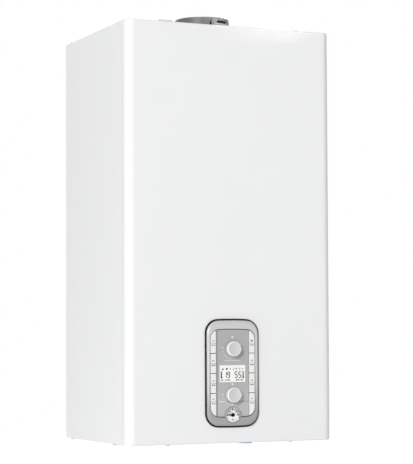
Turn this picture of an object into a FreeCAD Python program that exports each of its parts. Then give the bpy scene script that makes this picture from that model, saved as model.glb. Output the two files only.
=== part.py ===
import FreeCAD, Part
import math
import os

os.makedirs("parts", exist_ok=True)

# Frame: X across the boiler, -Y is the front, +Z is up, all in millimetres.
# The model is drawn from the casing's bottom edge and the wall, and is moved at the end so
# that the origin is midway between the two wall screws of the hanging bracket, on the wall.

# Casing
casing_width = 400.0
casing_height = 745.0
casing_depth = 319.0
sheet = 1.0
lap = 0.3
front_return = 18.0
front_seam = 1.6
front_corner = 16.0
side_bend = 2.0
side_flange = 26.0
edge_flange = 14.0
half = casing_width / 2
panel_rear = -casing_depth + front_return
frame_front = panel_rear + front_seam
roof_top = casing_height - sheet - lap
floor_top = 2 * sheet + lap

# Rear frame and hanging bracket
wall_step = 8.0
wall_lip = 15.0
frame_flange = 26.0
hang_height = 690.0
bracket_inset = 30.0
bracket_length = casing_width - 2 * bracket_inset
bracket_strip = 40.0
bracket_gauge = 2.0
wall_screw_inset = 20.0
wall_screw_pitch = bracket_length - 2 * wall_screw_inset
wall_screw_hole_r = 4.5
hook_inset = 60.0
hook_spacing = bracket_length - 2 * hook_inset
hook_width = 30.0
hook_drop = 12.0
hook_height = 20.0
back_plate = -wall_step
frame_face = back_plate - sheet - lap

# Front panel's hooks and the casing's screws
tab_spacing = 240.0
tab_width = 26.0
tab_rise = 4.5
tab_setback = 3.5
tab_clear_front = 1.7
tab_clear_back = 0.6
tab_clear_side = 0.8
tongue_width = 40.0
tongue_reach = 11.0
screw_r = 2.0
screw_flats = 3.4
screw_head_flats = 7.0
screw_head_height = 2.2
screw_length = 7.0
panel_screw_setback = 7.0
side_screw_inset = 20.0

# Control panel's face
fascia_x = -1.0
fascia_width = 103.0
fascia_low = 28.0
fascia_high = 220.0
fascia_corner = 23.0
fascia_arch = 2.0
opening_gap = 0.4
rim_width = 2.4
rim_proud = 0.8
bezel_proud = 6.0
field_width = 88.0
field_low = 45.5
field_high = 202.4
field_corner = 16.0
field_recess = 1.6
field_groove = 1.2
column_gap = 0.9
key_proud = 0.5
centre_width = 63.2
insert_split = 73.8
button_pitch = 35.3
button_lowest_gap = 88.5
button_gap = 1.2
button_travel = 1.0
button_count = 4
knob_r = 13.5
knob_depth = 10.0
knob_heights = (166.8, 85.3)
pointer_reach = 3.6
spindle_r = 3.0
encoder_side = 6.5
encoder_depth = 9.8
running_gap = 0.05
lcd_low = 108.0
lcd_high = 138.0
lcd_width = 50.0
gauge_z = 49.9
gauge_r = 14.5
gauge_ring = 1.4
gauge_proud = 1.4
dial_depth = 3.6
needle_pin_r = 0.6
needle_gap = 3.5
needle_gauge = 0.5
needle_hub = 3.4
lens_inset = 0.6
panel_skin = 2.5
fascia_front = -casing_depth - bezel_proud
field_front = fascia_front + field_recess
gauge_front = fascia_front - gauge_proud

# Control box behind the face
box_width = 260.0
box_low = 22.0
box_high = 232.0
box_front = -306.0
box_rear = -240.0
box_wall = 2.0
box_corner = 6.0
pivot_y = -296.0
pivot_z = 14.0
pivot_r = 3.0
pivot_gap = 0.08
pivot_arm = 8.0
ear_gauge = 3.0
board_y = -300.0
board_gauge = 1.6
board_width = 224.0
board_low = 40.0
board_high = 216.0
post_inset = 11.0
post_reach = 4.0
transformer = 40.0
relay_pitch = 22.0
relay_reach = 8.0
relay_height = 28.0
terminal_pitch = 68.0
terminal_reach = 26.0
cover_margin = 18.0
cover_rise = 5.0
slot_pitch = 60.0
slot_reach = 8.0

# Air chamber in the upper half
chamber_floor_z = 300.0
seal_width = 8.0
seal_inset = 2.0
seal_drop = 6.0
lip_height = 24.0
grommet_gap = 0.5

# Flue
flue_y = -190.0
collar_r = 50.0
collar_wall = 3.0
collar_flange = 130.0
duct_bore_r = 30.0
duct_wall = 1.5
duct_recess = 4.0
flue_rise = 29.0
flue_top = casing_height + flue_rise
duct_top = roof_top - duct_recess
flange_bevel = 10.0
recess_low = 11.0
recess_high = 5.0
sample_reach = 2.5
sample_from = -3.0
sample_to = 44.0
sample_plug_flats = 3.4
sample_plug_height = 1.2
sample_plug_turns = (15.0, 27.0)

# Heat engine
engine_left = -75.0
engine_right = 105.0
engine_front = -225.0
engine_rear = -14.0
engine_low = 440.0
engine_high = 700.0
engine_wall = 15.0
engine_fin_gap = 8.0
engine_fin = 5.0
engine_rib = 4.0
engine_ribs = 4
engine_lug = 24.0
engine_taper = 100.0
engine_stub = 14.0
burner_x = 15.0
burner_z = 580.0
burner_r = 32.0
burner_length = 120.0
electrode_spread = 10.0
electrode_flats = 8.0
electrode_foot = 16.0
electrode_out = 18.0
electrode_in = 12.0
wire_width = 2.0
wire_out = 8.0
wire_in = 58.0
door_gauge = 10.0
door_boss = 6.0
duct_width = 36.0
fan_x = 118.0
fan_z = 380.0
fan_front = -250.0
fan_rear = -200.0
fan_skin = 3.0
scroll_r = 44.0
scroll_growth = 18.0
wheel_r = 37.0
eye_r = 22.0
hub_r = 8.0
shaft_flats = 10.0
wheel_plate = 2.0
blade_gauge = 2.0
fan_blades = 10
fan_lean = 25.0
motor_r = 30.0
motor_length = 46.0
motor_arm = 40.0
motor_plug = 18.0
outlet_x = 160.0
outlet_rise = 62.0
mixer_depth = 38.0
mixer_reach = 30.0
nozzle_flats = 14.0
valve_width = 56.0
valve_depth = 60.0
valve_height = 44.0
valve_drop = 26.0
valve_bevel = 5.0
coil_height = 16.0
valve_socket = 8.0

# Pipe connections along the bottom
connection_pitch = 67.0
connection_y = -110.0
connection_drop = 10.0
large_pipe_r = 13.2
small_pipe_r = 10.48
tail_rise = 8.0
nut_height = 9.0
nut_margin = 4.0
pipe_clear = 1.6
pipe_wall = 3.0
gas_pipe_r = 8.0
elbow_wall = 5.0
copper_r = 9.0
water_y = -130.0
flow_x = -40.0
return_x = 70.0
gland_x = -100.0
gland_y = -190.0
gland_flats = 22.0
gland_bore_flats = 10.0
gland_height = 14.0

# Water side in the lower half
pump_z = 110.0
pump_r = 45.0
pump_depth = 44.0
pump_wall = 7.0
pump_offset = 30.0
pump_wheel_r = 34.0
pump_blades = 6
pump_lean = 30.0
vent_flats = 24.0
vent_height = 44.0
motor_reach = 39.0
motor_depth = 62.0
motor_rib = 4.0
arm_low = 46.0
arm_high = 64.0
arm_reach = 9.0
flow_seat = 138.0
return_seat = 162.0
seat_depth = 28.0
exchanger_low = 52.0
exchanger_high = 122.0
exchanger_rear = -150.0
exchanger_depth = 45.0
exchanger_length = 170.0
exchanger_plates = 7
exchanger_plate = 2.5
exchanger_corner = 12.0
port_inset = 16.0
port_reach = 10.0
diverter_top = 132.0
diverter_body = 60.0
diverter_r = 19.0
diverter_bore = 12.0
diverter_wall = 6.0
plug_flats = 20.0
plug_height = 9.0
plug_drop = 46.0
stem_length = 64.0
diverter_motor_x = 26.0
diverter_motor_y = 23.0
diverter_motor_height = 44.0
stem_r = 3.0
trap_x = 15.0
trap_y = -50.0
trap_top = 200.0
trap_low = 56.0
trap_neck = 20.0
trap_reach_x = 26.0
trap_reach_y = 20.0
trap_bevel = 6.0
drain_r = 11.0
drain_drop = 8.0
hose_r = 12.0
hose_wall = 2.0
vessel_width = 80.0
vessel_depth = 200.0
vessel_foot = 22.0
vessel_headroom = 21.7
vessel_low = chamber_floor_z + vessel_foot
vessel_high = roof_top - vessel_headroom
vessel_corner = 30.0
vessel_tail_inset = 50.0
vessel_x = vessel_tail_inset - casing_width / 2
vessel_tail_y = -60.0
vessel_pipe_r = 5.0
vessel_arm = 76.0
vessel_nut = 10.0
vessel_seam = 4.0
vessel_foot_x = 14.0
vessel_foot_y = 30.0

# Filling tap and relief valve
tap_x = 100.0
tap_y = -155.0
tap_r = 14.0
tap_height = 14.0
tap_stem_r = 5.0
tap_stem_top = 58.0
relief_y = -72.0
relief_r = 7.5
relief_flats = 22.0
relief_nut = 18.0
bonnet_height = 24.0
relief_stem = 100.0
relief_cap = 16.0
relief_cap_flats = 24.0

# Sides of the prisms that stand for round forms which nothing shows
round_sides = 24
bore_sides = 12


# Building blocks

def vec(x, y, z):
    return FreeCAD.Vector(x, y, z)


def box(x, y, z):
    return Part.makeBox(x[1] - x[0], y[1] - y[0], z[1] - z[0], vec(x[0], y[0], z[0]))


def around(middle, reach):
    return middle - reach, middle + reach


def rod(radius, start, end):
    along = end - start
    return Part.makeCylinder(radius, along.Length, start, along)


def fused(pieces):
    return pieces[0].multiFuse(pieces[1:]).removeSplitter()


def cut_all(shape, tools):
    return shape.cut(Part.makeCompound(tools)).removeSplitter()


def mirrored(shape):
    return shape.mirror(vec(0, 0, 0), vec(1, 0, 0))


def both_sides(shape):
    return [shape, mirrored(shape)]


def prism(points, along):
    """A flat outline of 3-D points drawn out along a vector."""
    return Part.Face(Part.makePolygon(points + points[:1])).extrude(along)


def polygon(sides, across_flats, base, along):
    """A regular prism, such as a nut, that stands on base and reaches along a vector."""
    reach = across_flats / 2 / math.cos(math.pi / sides)
    upright = FreeCAD.Rotation(vec(0, 0, 1), along)
    points = []
    for k in range(sides):
        turn = 2 * math.pi * k / sides
        points.append(base + upright.multVec(vec(reach * math.cos(turn), reach * math.sin(turn), 0)))
    return prism(points, along)


def line_edges(shape, direction, test):
    """Straight edges of the shape that run along the direction and whose middle passes the test."""
    found = []
    for edge in shape.Edges:
        if not isinstance(edge.Curve, Part.Line):
            continue
        along = edge.Curve.Direction
        if along.cross(direction).Length < 1e-6 and test(edge.CenterOfMass):
            found.append(edge)
    return found


def round_along(shape, direction, radius):
    """Round every straight edge that runs along the direction."""
    return shape.makeFillet(radius, line_edges(shape, direction, lambda c: True))


def round_front(shape, radius):
    """Round the two upright edges at the front of a block."""
    front = shape.BoundBox.YMin + lap
    return shape.makeFillet(radius, line_edges(shape, vec(0, 0, 1), lambda c: c.y < front))


def bevel_along(shape, direction, size):
    """Bevel every straight edge that runs along the direction."""
    return shape.makeChamfer(size, line_edges(shape, direction, lambda c: True))


def arched_block(width, low, high, corner, y):
    """A block seen from the front as a rounded rectangle whose top and bottom bow outward."""
    side = width / 2
    shoulder_low = low + fascia_arch
    shoulder_high = high - fascia_arch
    corners = [vec(-side, 0, shoulder_low), vec(side, 0, shoulder_low), vec(side, 0, shoulder_high),
               vec(-side, 0, shoulder_high)]
    bottom = Part.Arc(corners[0], vec(0, 0, low), corners[1]).toShape()
    right = Part.makeLine(corners[1], corners[2])
    top = Part.Arc(corners[2], vec(0, 0, high), corners[3]).toShape()
    left = Part.makeLine(corners[3], corners[0])
    face = Part.Face(Part.Wire([bottom, right, top, left]))
    block = face.extrude(vec(0, y[1] - y[0], 0))
    block.translate(vec(fascia_x, y[0], 0))
    return round_along(block, vec(0, 1, 0), corner)


def screw_hole(x, y, z):
    """Square hole for a screw's spring clip."""
    reach = screw_r + lap
    return box(around(x, reach), around(y, reach), (z - 2 * sheet, z + 2 * sheet))


def save(node, solids):
    """Write one node, moved so that the origin is at the hanging bracket."""
    shape = solids if isinstance(solids, Part.Shape) else Part.makeCompound(solids)
    shape = shape.copy()
    shape.translate(vec(0, 0, -hang_height))
    shape.exportStep("parts/" + node + ".step")


# Casing

def front_panel():
    """Folded front with rounded upright corners and the control panel's opening."""
    front = -casing_depth
    inside = half - sheet
    outer = box((-half, half), (front, panel_rear), (0, casing_height))
    inner = box((-inside, inside), (front + sheet, panel_rear + sheet), (sheet, casing_height - sheet))
    opening = arched_block(fascia_width + 2 * opening_gap, fascia_low - opening_gap, fascia_high + opening_gap,
                           fascia_corner + opening_gap, (front - sheet, front + 2 * sheet))
    cuts = [round_front(inner, front_corner - sheet), opening]
    cuts += both_sides(tab_slot())
    cuts += both_sides(panel_screw_slot())
    return cut_all(round_front(outer, front_corner), cuts)


def tab_slot():
    tab_rear = panel_rear - tab_setback
    return box(around(tab_spacing / 2, tab_width / 2 + tab_clear_side),
               (tab_rear - sheet - tab_clear_front, tab_rear + tab_clear_back),
               around(casing_height, 2 * sheet))


def panel_screw_slot():
    """Slot open to the rear, so that the panel slips off its loosened screw."""
    reach = screw_r + lap
    y = panel_rear - panel_screw_setback - reach
    return box(around(tab_spacing / 2, reach), (y, panel_rear + sheet), around(0, 2 * sheet))


def front_seal():
    """Foam strip on the back of the front panel, which closes the air chamber."""
    side = half - side_flange + seal_inset + seal_width
    high = roof_top - seal_drop
    low = chamber_floor_z - lip_height + seal_inset
    y = (-casing_depth + sheet, frame_front - lap)
    inside = side - seal_width
    outer = box((-side, side), y, (low, high))
    return outer.cut(box((-inside, inside), y, (low + seal_width, high - seal_width)))


def side_screw_x():
    return half - edge_flange / 2


def side_panel():
    """The right-hand side; the left one is its mirror image."""
    outer = box((half - side_flange, half), (frame_front, 0), (0, casing_height))
    outer = outer.makeFillet(side_bend, line_edges(outer, vec(0, 1, 0), lambda c: c.x > half - lap))
    inner = box((half - side_flange - sheet, half - sheet), (frame_front + sheet, sheet),
                (sheet, casing_height - sheet))
    trim = box((half - side_flange - sheet, half - edge_flange), (frame_front + sheet, sheet),
               (-sheet, casing_height + sheet))
    cuts = [inner, trim]
    for z in (0, casing_height):
        cuts.append(screw_hole(side_screw_x(), -side_screw_inset, z))
    return cut_all(outer, cuts)


def plate_outline(z):
    """A top or bottom plate: wide under the side panels' flanges, narrow between their front flanges."""
    wide = half - sheet - lap
    narrow = half - side_flange - lap
    step = frame_front + sheet + lap
    points = [(-wide, -lap), (-wide, step), (-narrow, step), (-narrow, frame_front), (narrow, frame_front),
              (narrow, step), (wide, step), (wide, -lap)]
    return prism([vec(x, y, z) for x, y in points], vec(0, 0, sheet))


def front_lip(low, high):
    narrow = half - side_flange - lap
    return box((-narrow, narrow), (frame_front, frame_front + sheet), (low, high))


def tongue(reach, z):
    return box(around(tab_spacing / 2, tongue_width / 2), (reach, frame_front + sheet), (z, z + sheet))


def top_plate():
    """Roof with its front lip and the two hooks that carry the front panel."""
    low = roof_top - sheet
    tab_rear = panel_rear - tab_setback
    tab = box(around(tab_spacing / 2, tab_width / 2), (tab_rear - sheet, tab_rear),
              (low, casing_height + tab_rise))
    pieces = [plate_outline(low), front_lip(roof_top - lip_height, roof_top)]
    pieces += both_sides(tongue(tab_rear - sheet, low))
    pieces += both_sides(tab)
    cuts = [rod(collar_r - collar_wall, vec(0, flue_y, low - sheet), vec(0, flue_y, roof_top + sheet))]
    cuts += both_sides(screw_hole(side_screw_x(), -side_screw_inset, roof_top))
    return cut_all(fused(pieces), cuts)


def bottom_plate():
    """Floor with a long hole for the connections, a cable gland and the control box's pivot lugs."""
    low = floor_top - sheet
    through = (low - sheet, floor_top + sheet)
    pieces = [plate_outline(low)]
    pieces += both_sides(tongue(panel_rear - tongue_reach, low))
    pieces += both_sides(pivot_ear())
    gland = vec(gland_x, gland_y, floor_top - gland_height / 2)
    pieces.append(polygon(8, gland_flats, gland, vec(0, 0, gland_height)))
    cuts = [polygon(8, gland_bore_flats, gland - vec(0, 0, sheet), vec(0, 0, gland_height + 2 * sheet))]
    reach = large_pipe_r + pipe_clear
    slot = box(around(0, 2 * connection_pitch + reach), around(connection_y, reach), through)
    cuts.append(bevel_along(slot, vec(0, 0, 1), nut_margin))
    for x, y, r in ((trap_x, trap_y, drain_r), (tap_x, tap_y, tap_r), (tap_x, relief_y, relief_r)):
        cuts.append(box(around(x, r + pipe_clear), around(y, r + pipe_clear), through))
    cuts += both_sides(screw_hole(side_screw_x(), -side_screw_inset, low))
    cuts += both_sides(screw_hole(tab_spacing / 2, panel_rear - panel_screw_setback, low))
    return cut_all(fused(pieces), cuts)


def pivot_ear():
    """Upright lug that carries one end of the control box's pivot."""
    x = box_width / 2 - pivot_arm + box_wall + lap
    ear = box((x, x + ear_gauge), (frame_front, pivot_y + pivot_arm), (floor_top - sheet, box_low - 2 * sheet))
    return ear.cut(rod(pivot_r + pivot_gap, vec(x - sheet, pivot_y, pivot_z),
                       vec(x + ear_gauge + sheet, pivot_y, pivot_z)))


def connections():
    """Heating flow, hot water, gas, cold water and heating return, from left to right."""
    radii = (large_pipe_r, small_pipe_r, large_pipe_r, small_pipe_r, large_pipe_r)
    return [(connection_pitch * (k - 2), connection_y, r) for k, r in enumerate(radii)]


def rear_frame():
    """A pan with forward flanges; its rim lies on the wall and its floor stands off it."""
    side = half - sheet - lap
    low = floor_top + lap
    high = roof_top - sheet - lap
    dish_side = side - wall_lip
    dish_low = low + wall_lip
    dish_high = high - wall_lip
    flange = box((-side, side), (-frame_flange, 0), (low, high)).cut(
        box((-side + sheet, side - sheet), (-frame_flange, -sheet), (low + sheet, high - sheet)))
    dish = box((-dish_side, dish_side), (back_plate - sheet, 0), (dish_low, dish_high))
    hollow = box((-dish_side + sheet, dish_side - sheet), (back_plate, sheet),
                 (dish_low + sheet, dish_high - sheet))
    cuts = [hollow]
    shelf_top = hang_height - hook_drop + bracket_gauge
    slot_low = shelf_top + lap - hook_height - 2 * bracket_gauge
    slot = box(around(hook_spacing / 2, hook_width / 2 + sheet),
               (back_plate - 2 * sheet, back_plate + sheet), (slot_low, shelf_top + lap))
    cuts += both_sides(slot)
    for z in (low, high):
        cuts += both_sides(screw_hole(side_screw_x(), -side_screw_inset, z))
    return cut_all(fused([flange, dish]), cuts)


def wall_bracket():
    """A flat bar on the wall with two hooks that enter the rear frame's slots."""
    strip = box(around(0, bracket_length / 2), (-bracket_gauge, 0), around(hang_height, bracket_strip / 2))
    front = frame_face - bracket_gauge
    low = hang_height - hook_drop
    x = around(hook_spacing / 2, hook_width / 2)
    shelf = box(x, (front, 0), (low, low + bracket_gauge))
    upright = box(x, (front, frame_face), (low, low + hook_height))
    bar = fused([strip] + both_sides(shelf) + both_sides(upright))
    hole = rod(wall_screw_hole_r, vec(wall_screw_pitch / 2, -2 * bracket_gauge, hang_height),
               vec(wall_screw_pitch / 2, bracket_gauge, hang_height))
    return cut_all(bar, both_sides(hole))


def screw(x, y, seat, up):
    """A hexagon-head screw whose head lies on seat; up is 1 when the head is above, -1 below."""
    base = vec(x, y, seat)
    head = polygon(6, screw_head_flats, base, vec(0, 0, up * screw_head_height))
    return fused([head, polygon(6, screw_flats, base, vec(0, 0, -up * screw_length))])


def casing_screws():
    solids = []
    for x in (-side_screw_x(), side_screw_x()):
        solids.append(screw(x, -side_screw_inset, casing_height, 1))
        solids.append(screw(x, -side_screw_inset, 0, -1))
    for x in (-tab_spacing / 2, tab_spacing / 2):
        solids.append(screw(x, panel_rear - panel_screw_setback, -lap, -1))
    return solids


def chamber_floor():
    """The shelf that parts the sealed air chamber from the water side."""
    low = chamber_floor_z - sheet
    wide = half - 2 * (sheet + lap)
    shelf = plate_outline(low).common(box((-wide, wide), (-casing_depth, frame_face), (low, low + sheet)))
    body = fused([shelf, front_lip(chamber_floor_z - lip_height, chamber_floor_z)])
    gas_x, gas_y = connections()[2][:2]
    holes = ((gas_x, gas_y, gas_pipe_r), (trap_x, trap_y, hose_r), (flow_x, water_y, copper_r),
             (return_x, water_y, copper_r), (vessel_x, vessel_tail_y, vessel_pipe_r))
    cuts = []
    for x, y, r in holes:
        cuts.append(box(around(x, r + grommet_gap), around(y, r + grommet_gap), (low - sheet, low + 2 * sheet)))
    return cut_all(body, cuts)


# Flue

def flue_collar():
    """Air collar on its square flange, with the raised housing of the two sampling points."""
    base = vec(0, flue_y, roof_top)
    top = vec(0, flue_y, flue_top)
    reach = collar_flange / 2
    flange = box((-reach, reach), around(flue_y, reach), (roof_top, roof_top + collar_wall))
    flange = bevel_along(flange, vec(0, 0, 1), flange_bevel)
    housing = sample_sector(collar_r + sample_reach, roof_top, sample_top(), sample_from, sample_to)
    body = fused([flange, rod(collar_r, base, top), housing])
    margin = (sample_to - sample_from) / 5
    recess = sample_sector(collar_r + 2 * sample_reach, flue_top - recess_low, flue_top - recess_high,
                           sample_from + margin, sample_to - margin).cut(rod(collar_r - sheet / 2, base, top))
    bore = rod(collar_r - collar_wall, base - vec(0, 0, sheet), top + vec(0, 0, sheet))
    seats = [polygon(8, sample_plug_flats + 2 * lap, place, vec(0, 0, 2 * sample_plug_height))
             for place in sample_points()]
    return cut_all(body, [bore, recess] + seats)


def sample_top():
    return flue_top - sample_reach / 2


def sample_sector(radius, low, high, start, stop):
    """A wedge of the collar's outline, measured in degrees from the front towards the right."""
    wedge = Part.makeCylinder(radius, high - low, vec(0, flue_y, low), vec(0, 0, 1), stop - start)
    wedge.rotate(vec(0, flue_y, 0), vec(0, 0, 1), start - 90)
    return wedge


def sample_points():
    """Places of the sampling plugs on top of the raised housing."""
    places = []
    for degrees in sample_plug_turns:
        turn = math.radians(degrees)
        places.append(vec(collar_r * math.sin(turn), flue_y - collar_r * math.cos(turn), sample_top()))
    return places


def sampling_plugs():
    up = vec(0, 0, sample_plug_height)
    return [polygon(8, sample_plug_flats, place, up) for place in sample_points()]


def flue_duct():
    """Inner flue between the heat engine and the collar's foot."""
    foot = vec(0, flue_y, engine_high + lap)
    rise = vec(0, 0, duct_top - engine_high - lap)
    outer = polygon(round_sides, 2 * (duct_bore_r + duct_wall), foot, rise)
    return outer.cut(rod(duct_bore_r, foot, foot + rise))


# Heat engine

def stub_low():
    return engine_low - engine_stub


def heat_exchanger():
    """Cast block: tapering outline with outer ribs, a burner chamber and a nest of fins below it."""
    taper_z = engine_low + engine_taper
    wall = engine_wall
    points = [(engine_left, engine_high), (engine_right, engine_high), (engine_right, taper_z),
              (engine_right - wall, engine_low), (engine_left + wall, engine_low), (engine_left, taper_z)]
    depth = vec(0, engine_rear - engine_front, 0)
    pieces = [prism([vec(x, engine_front, z) for x, z in points], depth)]
    rib_step = (engine_high - taper_z) / (engine_ribs + 1)
    for k in range(1, engine_ribs + 1):
        pieces.append(box((engine_left - engine_rib, engine_right + engine_rib),
                          (engine_front + wall, engine_rear), around(taper_z + rib_step * k, engine_rib / 2)))
    for x in (engine_left + engine_lug, engine_right - engine_lug):
        for z in (taper_z, engine_high - engine_lug):
            pieces.append(box(around(x, engine_lug / 2), (engine_rear, frame_face), around(z, engine_lug / 2)))
    rise = vec(0, 0, engine_stub)
    for x, y, r in ((flow_x, water_y, copper_r), (return_x, water_y, copper_r), (trap_x, trap_y, hose_r)):
        pieces.append(polygon(6, 2 * (r + nut_margin), vec(x, y, stub_low()), rise))
    chamber_low = burner_z - burner_r - wall
    rear = engine_rear - 2 * wall
    cuts = [box((engine_left + wall, engine_right - wall), (engine_front - sheet, rear),
                (chamber_low, engine_high - 2 * wall))]
    pitch = engine_fin_gap + engine_fin
    count = int((engine_right - engine_left - 2 * wall + engine_fin) / pitch)
    for k in range(count):
        x = engine_left + wall + pitch * k
        cuts.append(box((x, x + engine_fin_gap), (engine_front + wall, rear),
                        (engine_low + 2 * wall, chamber_low + sheet)))
    throat = vec(0, flue_y, engine_high - 3 * wall)
    cuts.append(polygon(bore_sides, 2 * duct_bore_r - 2 * pipe_wall, throat, vec(0, 0, 4 * wall)))
    return cut_all(fused(pieces), cuts)


def burner_door():
    """Cast door with its stiffening ribs and the square inlet boss."""
    face = engine_front - door_gauge
    margin = engine_wall / 2
    x = (engine_left + margin, engine_right - margin)
    z = (burner_z - burner_r - 2 * engine_wall, engine_high - engine_wall)
    plate = bevel_along(box(x, (face, engine_front - lap), z), vec(0, 1, 0), engine_wall)
    reach = duct_width / 2 + door_boss
    pieces = [plate, box(around(burner_x, reach), (face - door_boss, face), around(burner_z, reach))]
    y = (face - door_boss / 2, face)
    for side in (-reach, reach - engine_rib):
        level = (burner_z + side, burner_z + side + engine_rib)
        upright = (burner_x + side, burner_x + side + engine_rib)
        pieces.append(box((x[0] + margin, x[1] - margin), y, level))
        pieces.append(box(upright, y, (z[0] + margin, z[1] - margin)))
    throat = duct_width / 2 - pipe_wall
    through = (face - 2 * door_boss, engine_front)
    cuts = [box(around(burner_x, throat), through, around(burner_z, throat))]
    for place_x, place_z in electrode_places():
        start = vec(place_x, through[0], place_z)
        cuts.append(polygon(6, electrode_flats + 2 * lap, start, vec(0, through[1] - through[0], 0)))
    return cut_all(fused(pieces), cuts)


def electrode_places():
    z = burner_z + burner_r + engine_wall
    return (burner_x - electrode_spread, z), (burner_x + electrode_spread, z)


def burner():
    """Cylindrical burner that stands on the inside of the door."""
    return polygon(round_sides, 2 * burner_r, vec(burner_x, engine_front, burner_z), vec(0, burner_length, 0))


def electrodes():
    """Ignition and ionisation electrodes: a ceramic sleeve on its foot, with a wire through it."""
    solids = []
    face = engine_front - door_gauge
    start = face - electrode_out
    end = engine_front + electrode_in
    reach = electrode_foot / 2
    for x, z in electrode_places():
        ceramic = polygon(6, electrode_flats, vec(x, start, z), vec(0, end - start, 0))
        foot = box(around(x, reach), (face - pipe_wall - lap, face - lap), around(z, reach))
        wire = box(around(x, wire_width / 2), (start - wire_out, end + wire_in), around(z, wire_width / 2))
        solids.append(fused([ceramic, foot, wire]))
    return solids


def scroll():
    """Spiral block of the fan, whose radius grows steadily over one turn, and its right end."""
    points = []
    for k in range(round_sides + 1):
        turn = 2 * math.pi * k / round_sides
        radius = scroll_r + scroll_growth * k / round_sides
        points.append(vec(fan_x + radius * math.cos(turn), fan_front, fan_z + radius * math.sin(turn)))
    return prism(points, vec(0, fan_rear - fan_front, 0)), points[-1].x


def fan_outlet_z():
    return fan_z + outlet_rise


def fan_housing():
    """Scroll casing with its outlet, inlet eye and shaft hole."""
    y = (fan_front, fan_rear)
    inner_y = (fan_front + fan_skin, fan_rear - fan_skin)
    spiral, right = scroll()
    left = 2 * outlet_x - right
    high = fan_outlet_z()
    outlet = box((left, right), y, (fan_z, high))
    flange = box((left - fan_skin, right + fan_skin), (y[0] - 2 * sheet, y[1] + 2 * sheet), (high - 5 * sheet, high))
    centre = vec(fan_x, inner_y[0], fan_z)
    chamber = polygon(round_sides, 2 * (wheel_r + fan_skin), centre, vec(0, inner_y[1] - inner_y[0], 0))
    throat = box((left + fan_skin, right - fan_skin), inner_y, (fan_z, high + sheet))
    eye = polygon(round_sides, 2 * eye_r, centre - vec(0, 2 * fan_skin, 0), vec(0, 3 * fan_skin, 0))
    shaft = polygon(8, 2 * hub_r, vec(fan_x, inner_y[1] - sheet, fan_z), vec(0, fan_skin + 2 * sheet, 0))
    return cut_all(fused([spiral, outlet, flange]), [chamber, throat, eye, shaft])


def bladed_wheel(radius, blades, lean, start, depth):
    """Back plate with leaning blades in front of it and a hub through its middle."""
    plate = start + vec(0, depth - wheel_plate, 0)
    pieces = [polygon(round_sides, 2 * radius, plate, vec(0, wheel_plate, 0)),
              polygon(8, 2 * (hub_r - sheet), start, vec(0, depth, 0))]
    root = hub_r + 5 * sheet
    for k in range(blades):
        blade = box((root, radius - 2 * sheet), (0, depth - sheet), around(0, blade_gauge / 2))
        blade.rotate(vec(root, 0, 0), vec(0, 1, 0), lean)
        blade.rotate(vec(0, 0, 0), vec(0, 1, 0), 360 * k / blades)
        blade.translate(start)
        pieces.append(blade)
    return fused(pieces)


def fan_impeller():
    start = vec(fan_x, fan_front + 2 * fan_skin, fan_z)
    return bladed_wheel(wheel_r, fan_blades, fan_lean, start, fan_rear - fan_front - 4 * fan_skin)


def fan_motor():
    """Motor on the back of the fan, with its mounting arm, plug and shaft end."""
    y = fan_rear + lap
    centre = vec(fan_x, y, fan_z)
    can = polygon(round_sides, 2 * motor_r, centre, vec(0, motor_length, 0))
    arm = box(around(fan_x, motor_arm), (y, y + fan_skin), around(fan_z, motor_arm / 3))
    plug_z = fan_z + motor_r
    plug = box(around(fan_x, motor_plug / 2), (y + motor_plug, y + 2 * motor_plug),
               (plug_z - fan_skin, plug_z + motor_plug / 2))
    shaft = polygon(8, shaft_flats, centre - vec(0, 2 * fan_skin, 0), vec(0, 2 * fan_skin, 0))
    return fused([can, arm, plug, shaft])


def mixing_duct():
    """Moulded duct of square section from the fan's outlet round to the burner door."""
    reach = duct_width / 2
    middle_y = (fan_front + fan_rear) / 2
    foot = fan_outlet_z() + lap
    door = engine_front - door_gauge - door_boss - lap
    front = door - duct_width - engine_wall
    low, high = burner_z - reach, burner_z + reach
    left_face = outlet_x - reach
    upright = [(middle_y + reach, foot), (middle_y - reach, foot), (middle_y - reach, low - reach),
               (front, low), (front, high), (front + duct_width, high), (middle_y + reach, low)]
    upright = prism([vec(left_face, y, z) for y, z in upright], vec(duct_width, 0, 0))
    right = outlet_x + reach
    left = burner_x - reach
    across = [(right, front), (left + reach, front), (left, front + reach), (left, door),
              (left + duct_width, door), (left + duct_width, front + duct_width), (right, front + duct_width)]
    across = prism([vec(x, y, low) for x, y in across], vec(0, 0, duct_width))
    flange = box(around(outlet_x, reach + door_boss / 2), (fan_front - 2 * sheet, fan_rear + 2 * sheet),
                 (foot, foot + 5 * sheet))
    return fused([upright, across, flange])


def gas_mixer():
    """Venturi casting on the fan's inlet: air comes in at the front, gas at the left."""
    y = (mixer_front(), fan_front - lap)
    body = box(around(fan_x, mixer_reach), y, around(fan_z, mixer_reach))
    body = bevel_along(body, vec(0, 1, 0), mixer_reach / 2)
    start = vec(valve_width / 2 + lap, (y[0] + y[1]) / 2, fan_z)
    nozzle = polygon(8, nozzle_flats, start, vec(fan_x - mixer_reach / 2 - start.x, 0, 0))
    throat = polygon(round_sides, 2 * eye_r - 2 * pipe_wall, vec(fan_x, y[0] - sheet, fan_z),
                     vec(0, mixer_depth + sheet, 0))
    return fused([body, nozzle]).cut(throat)


def mixer_front():
    return fan_front - mixer_depth


def gas_inlet_z():
    return fan_z - valve_bevel


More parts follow.
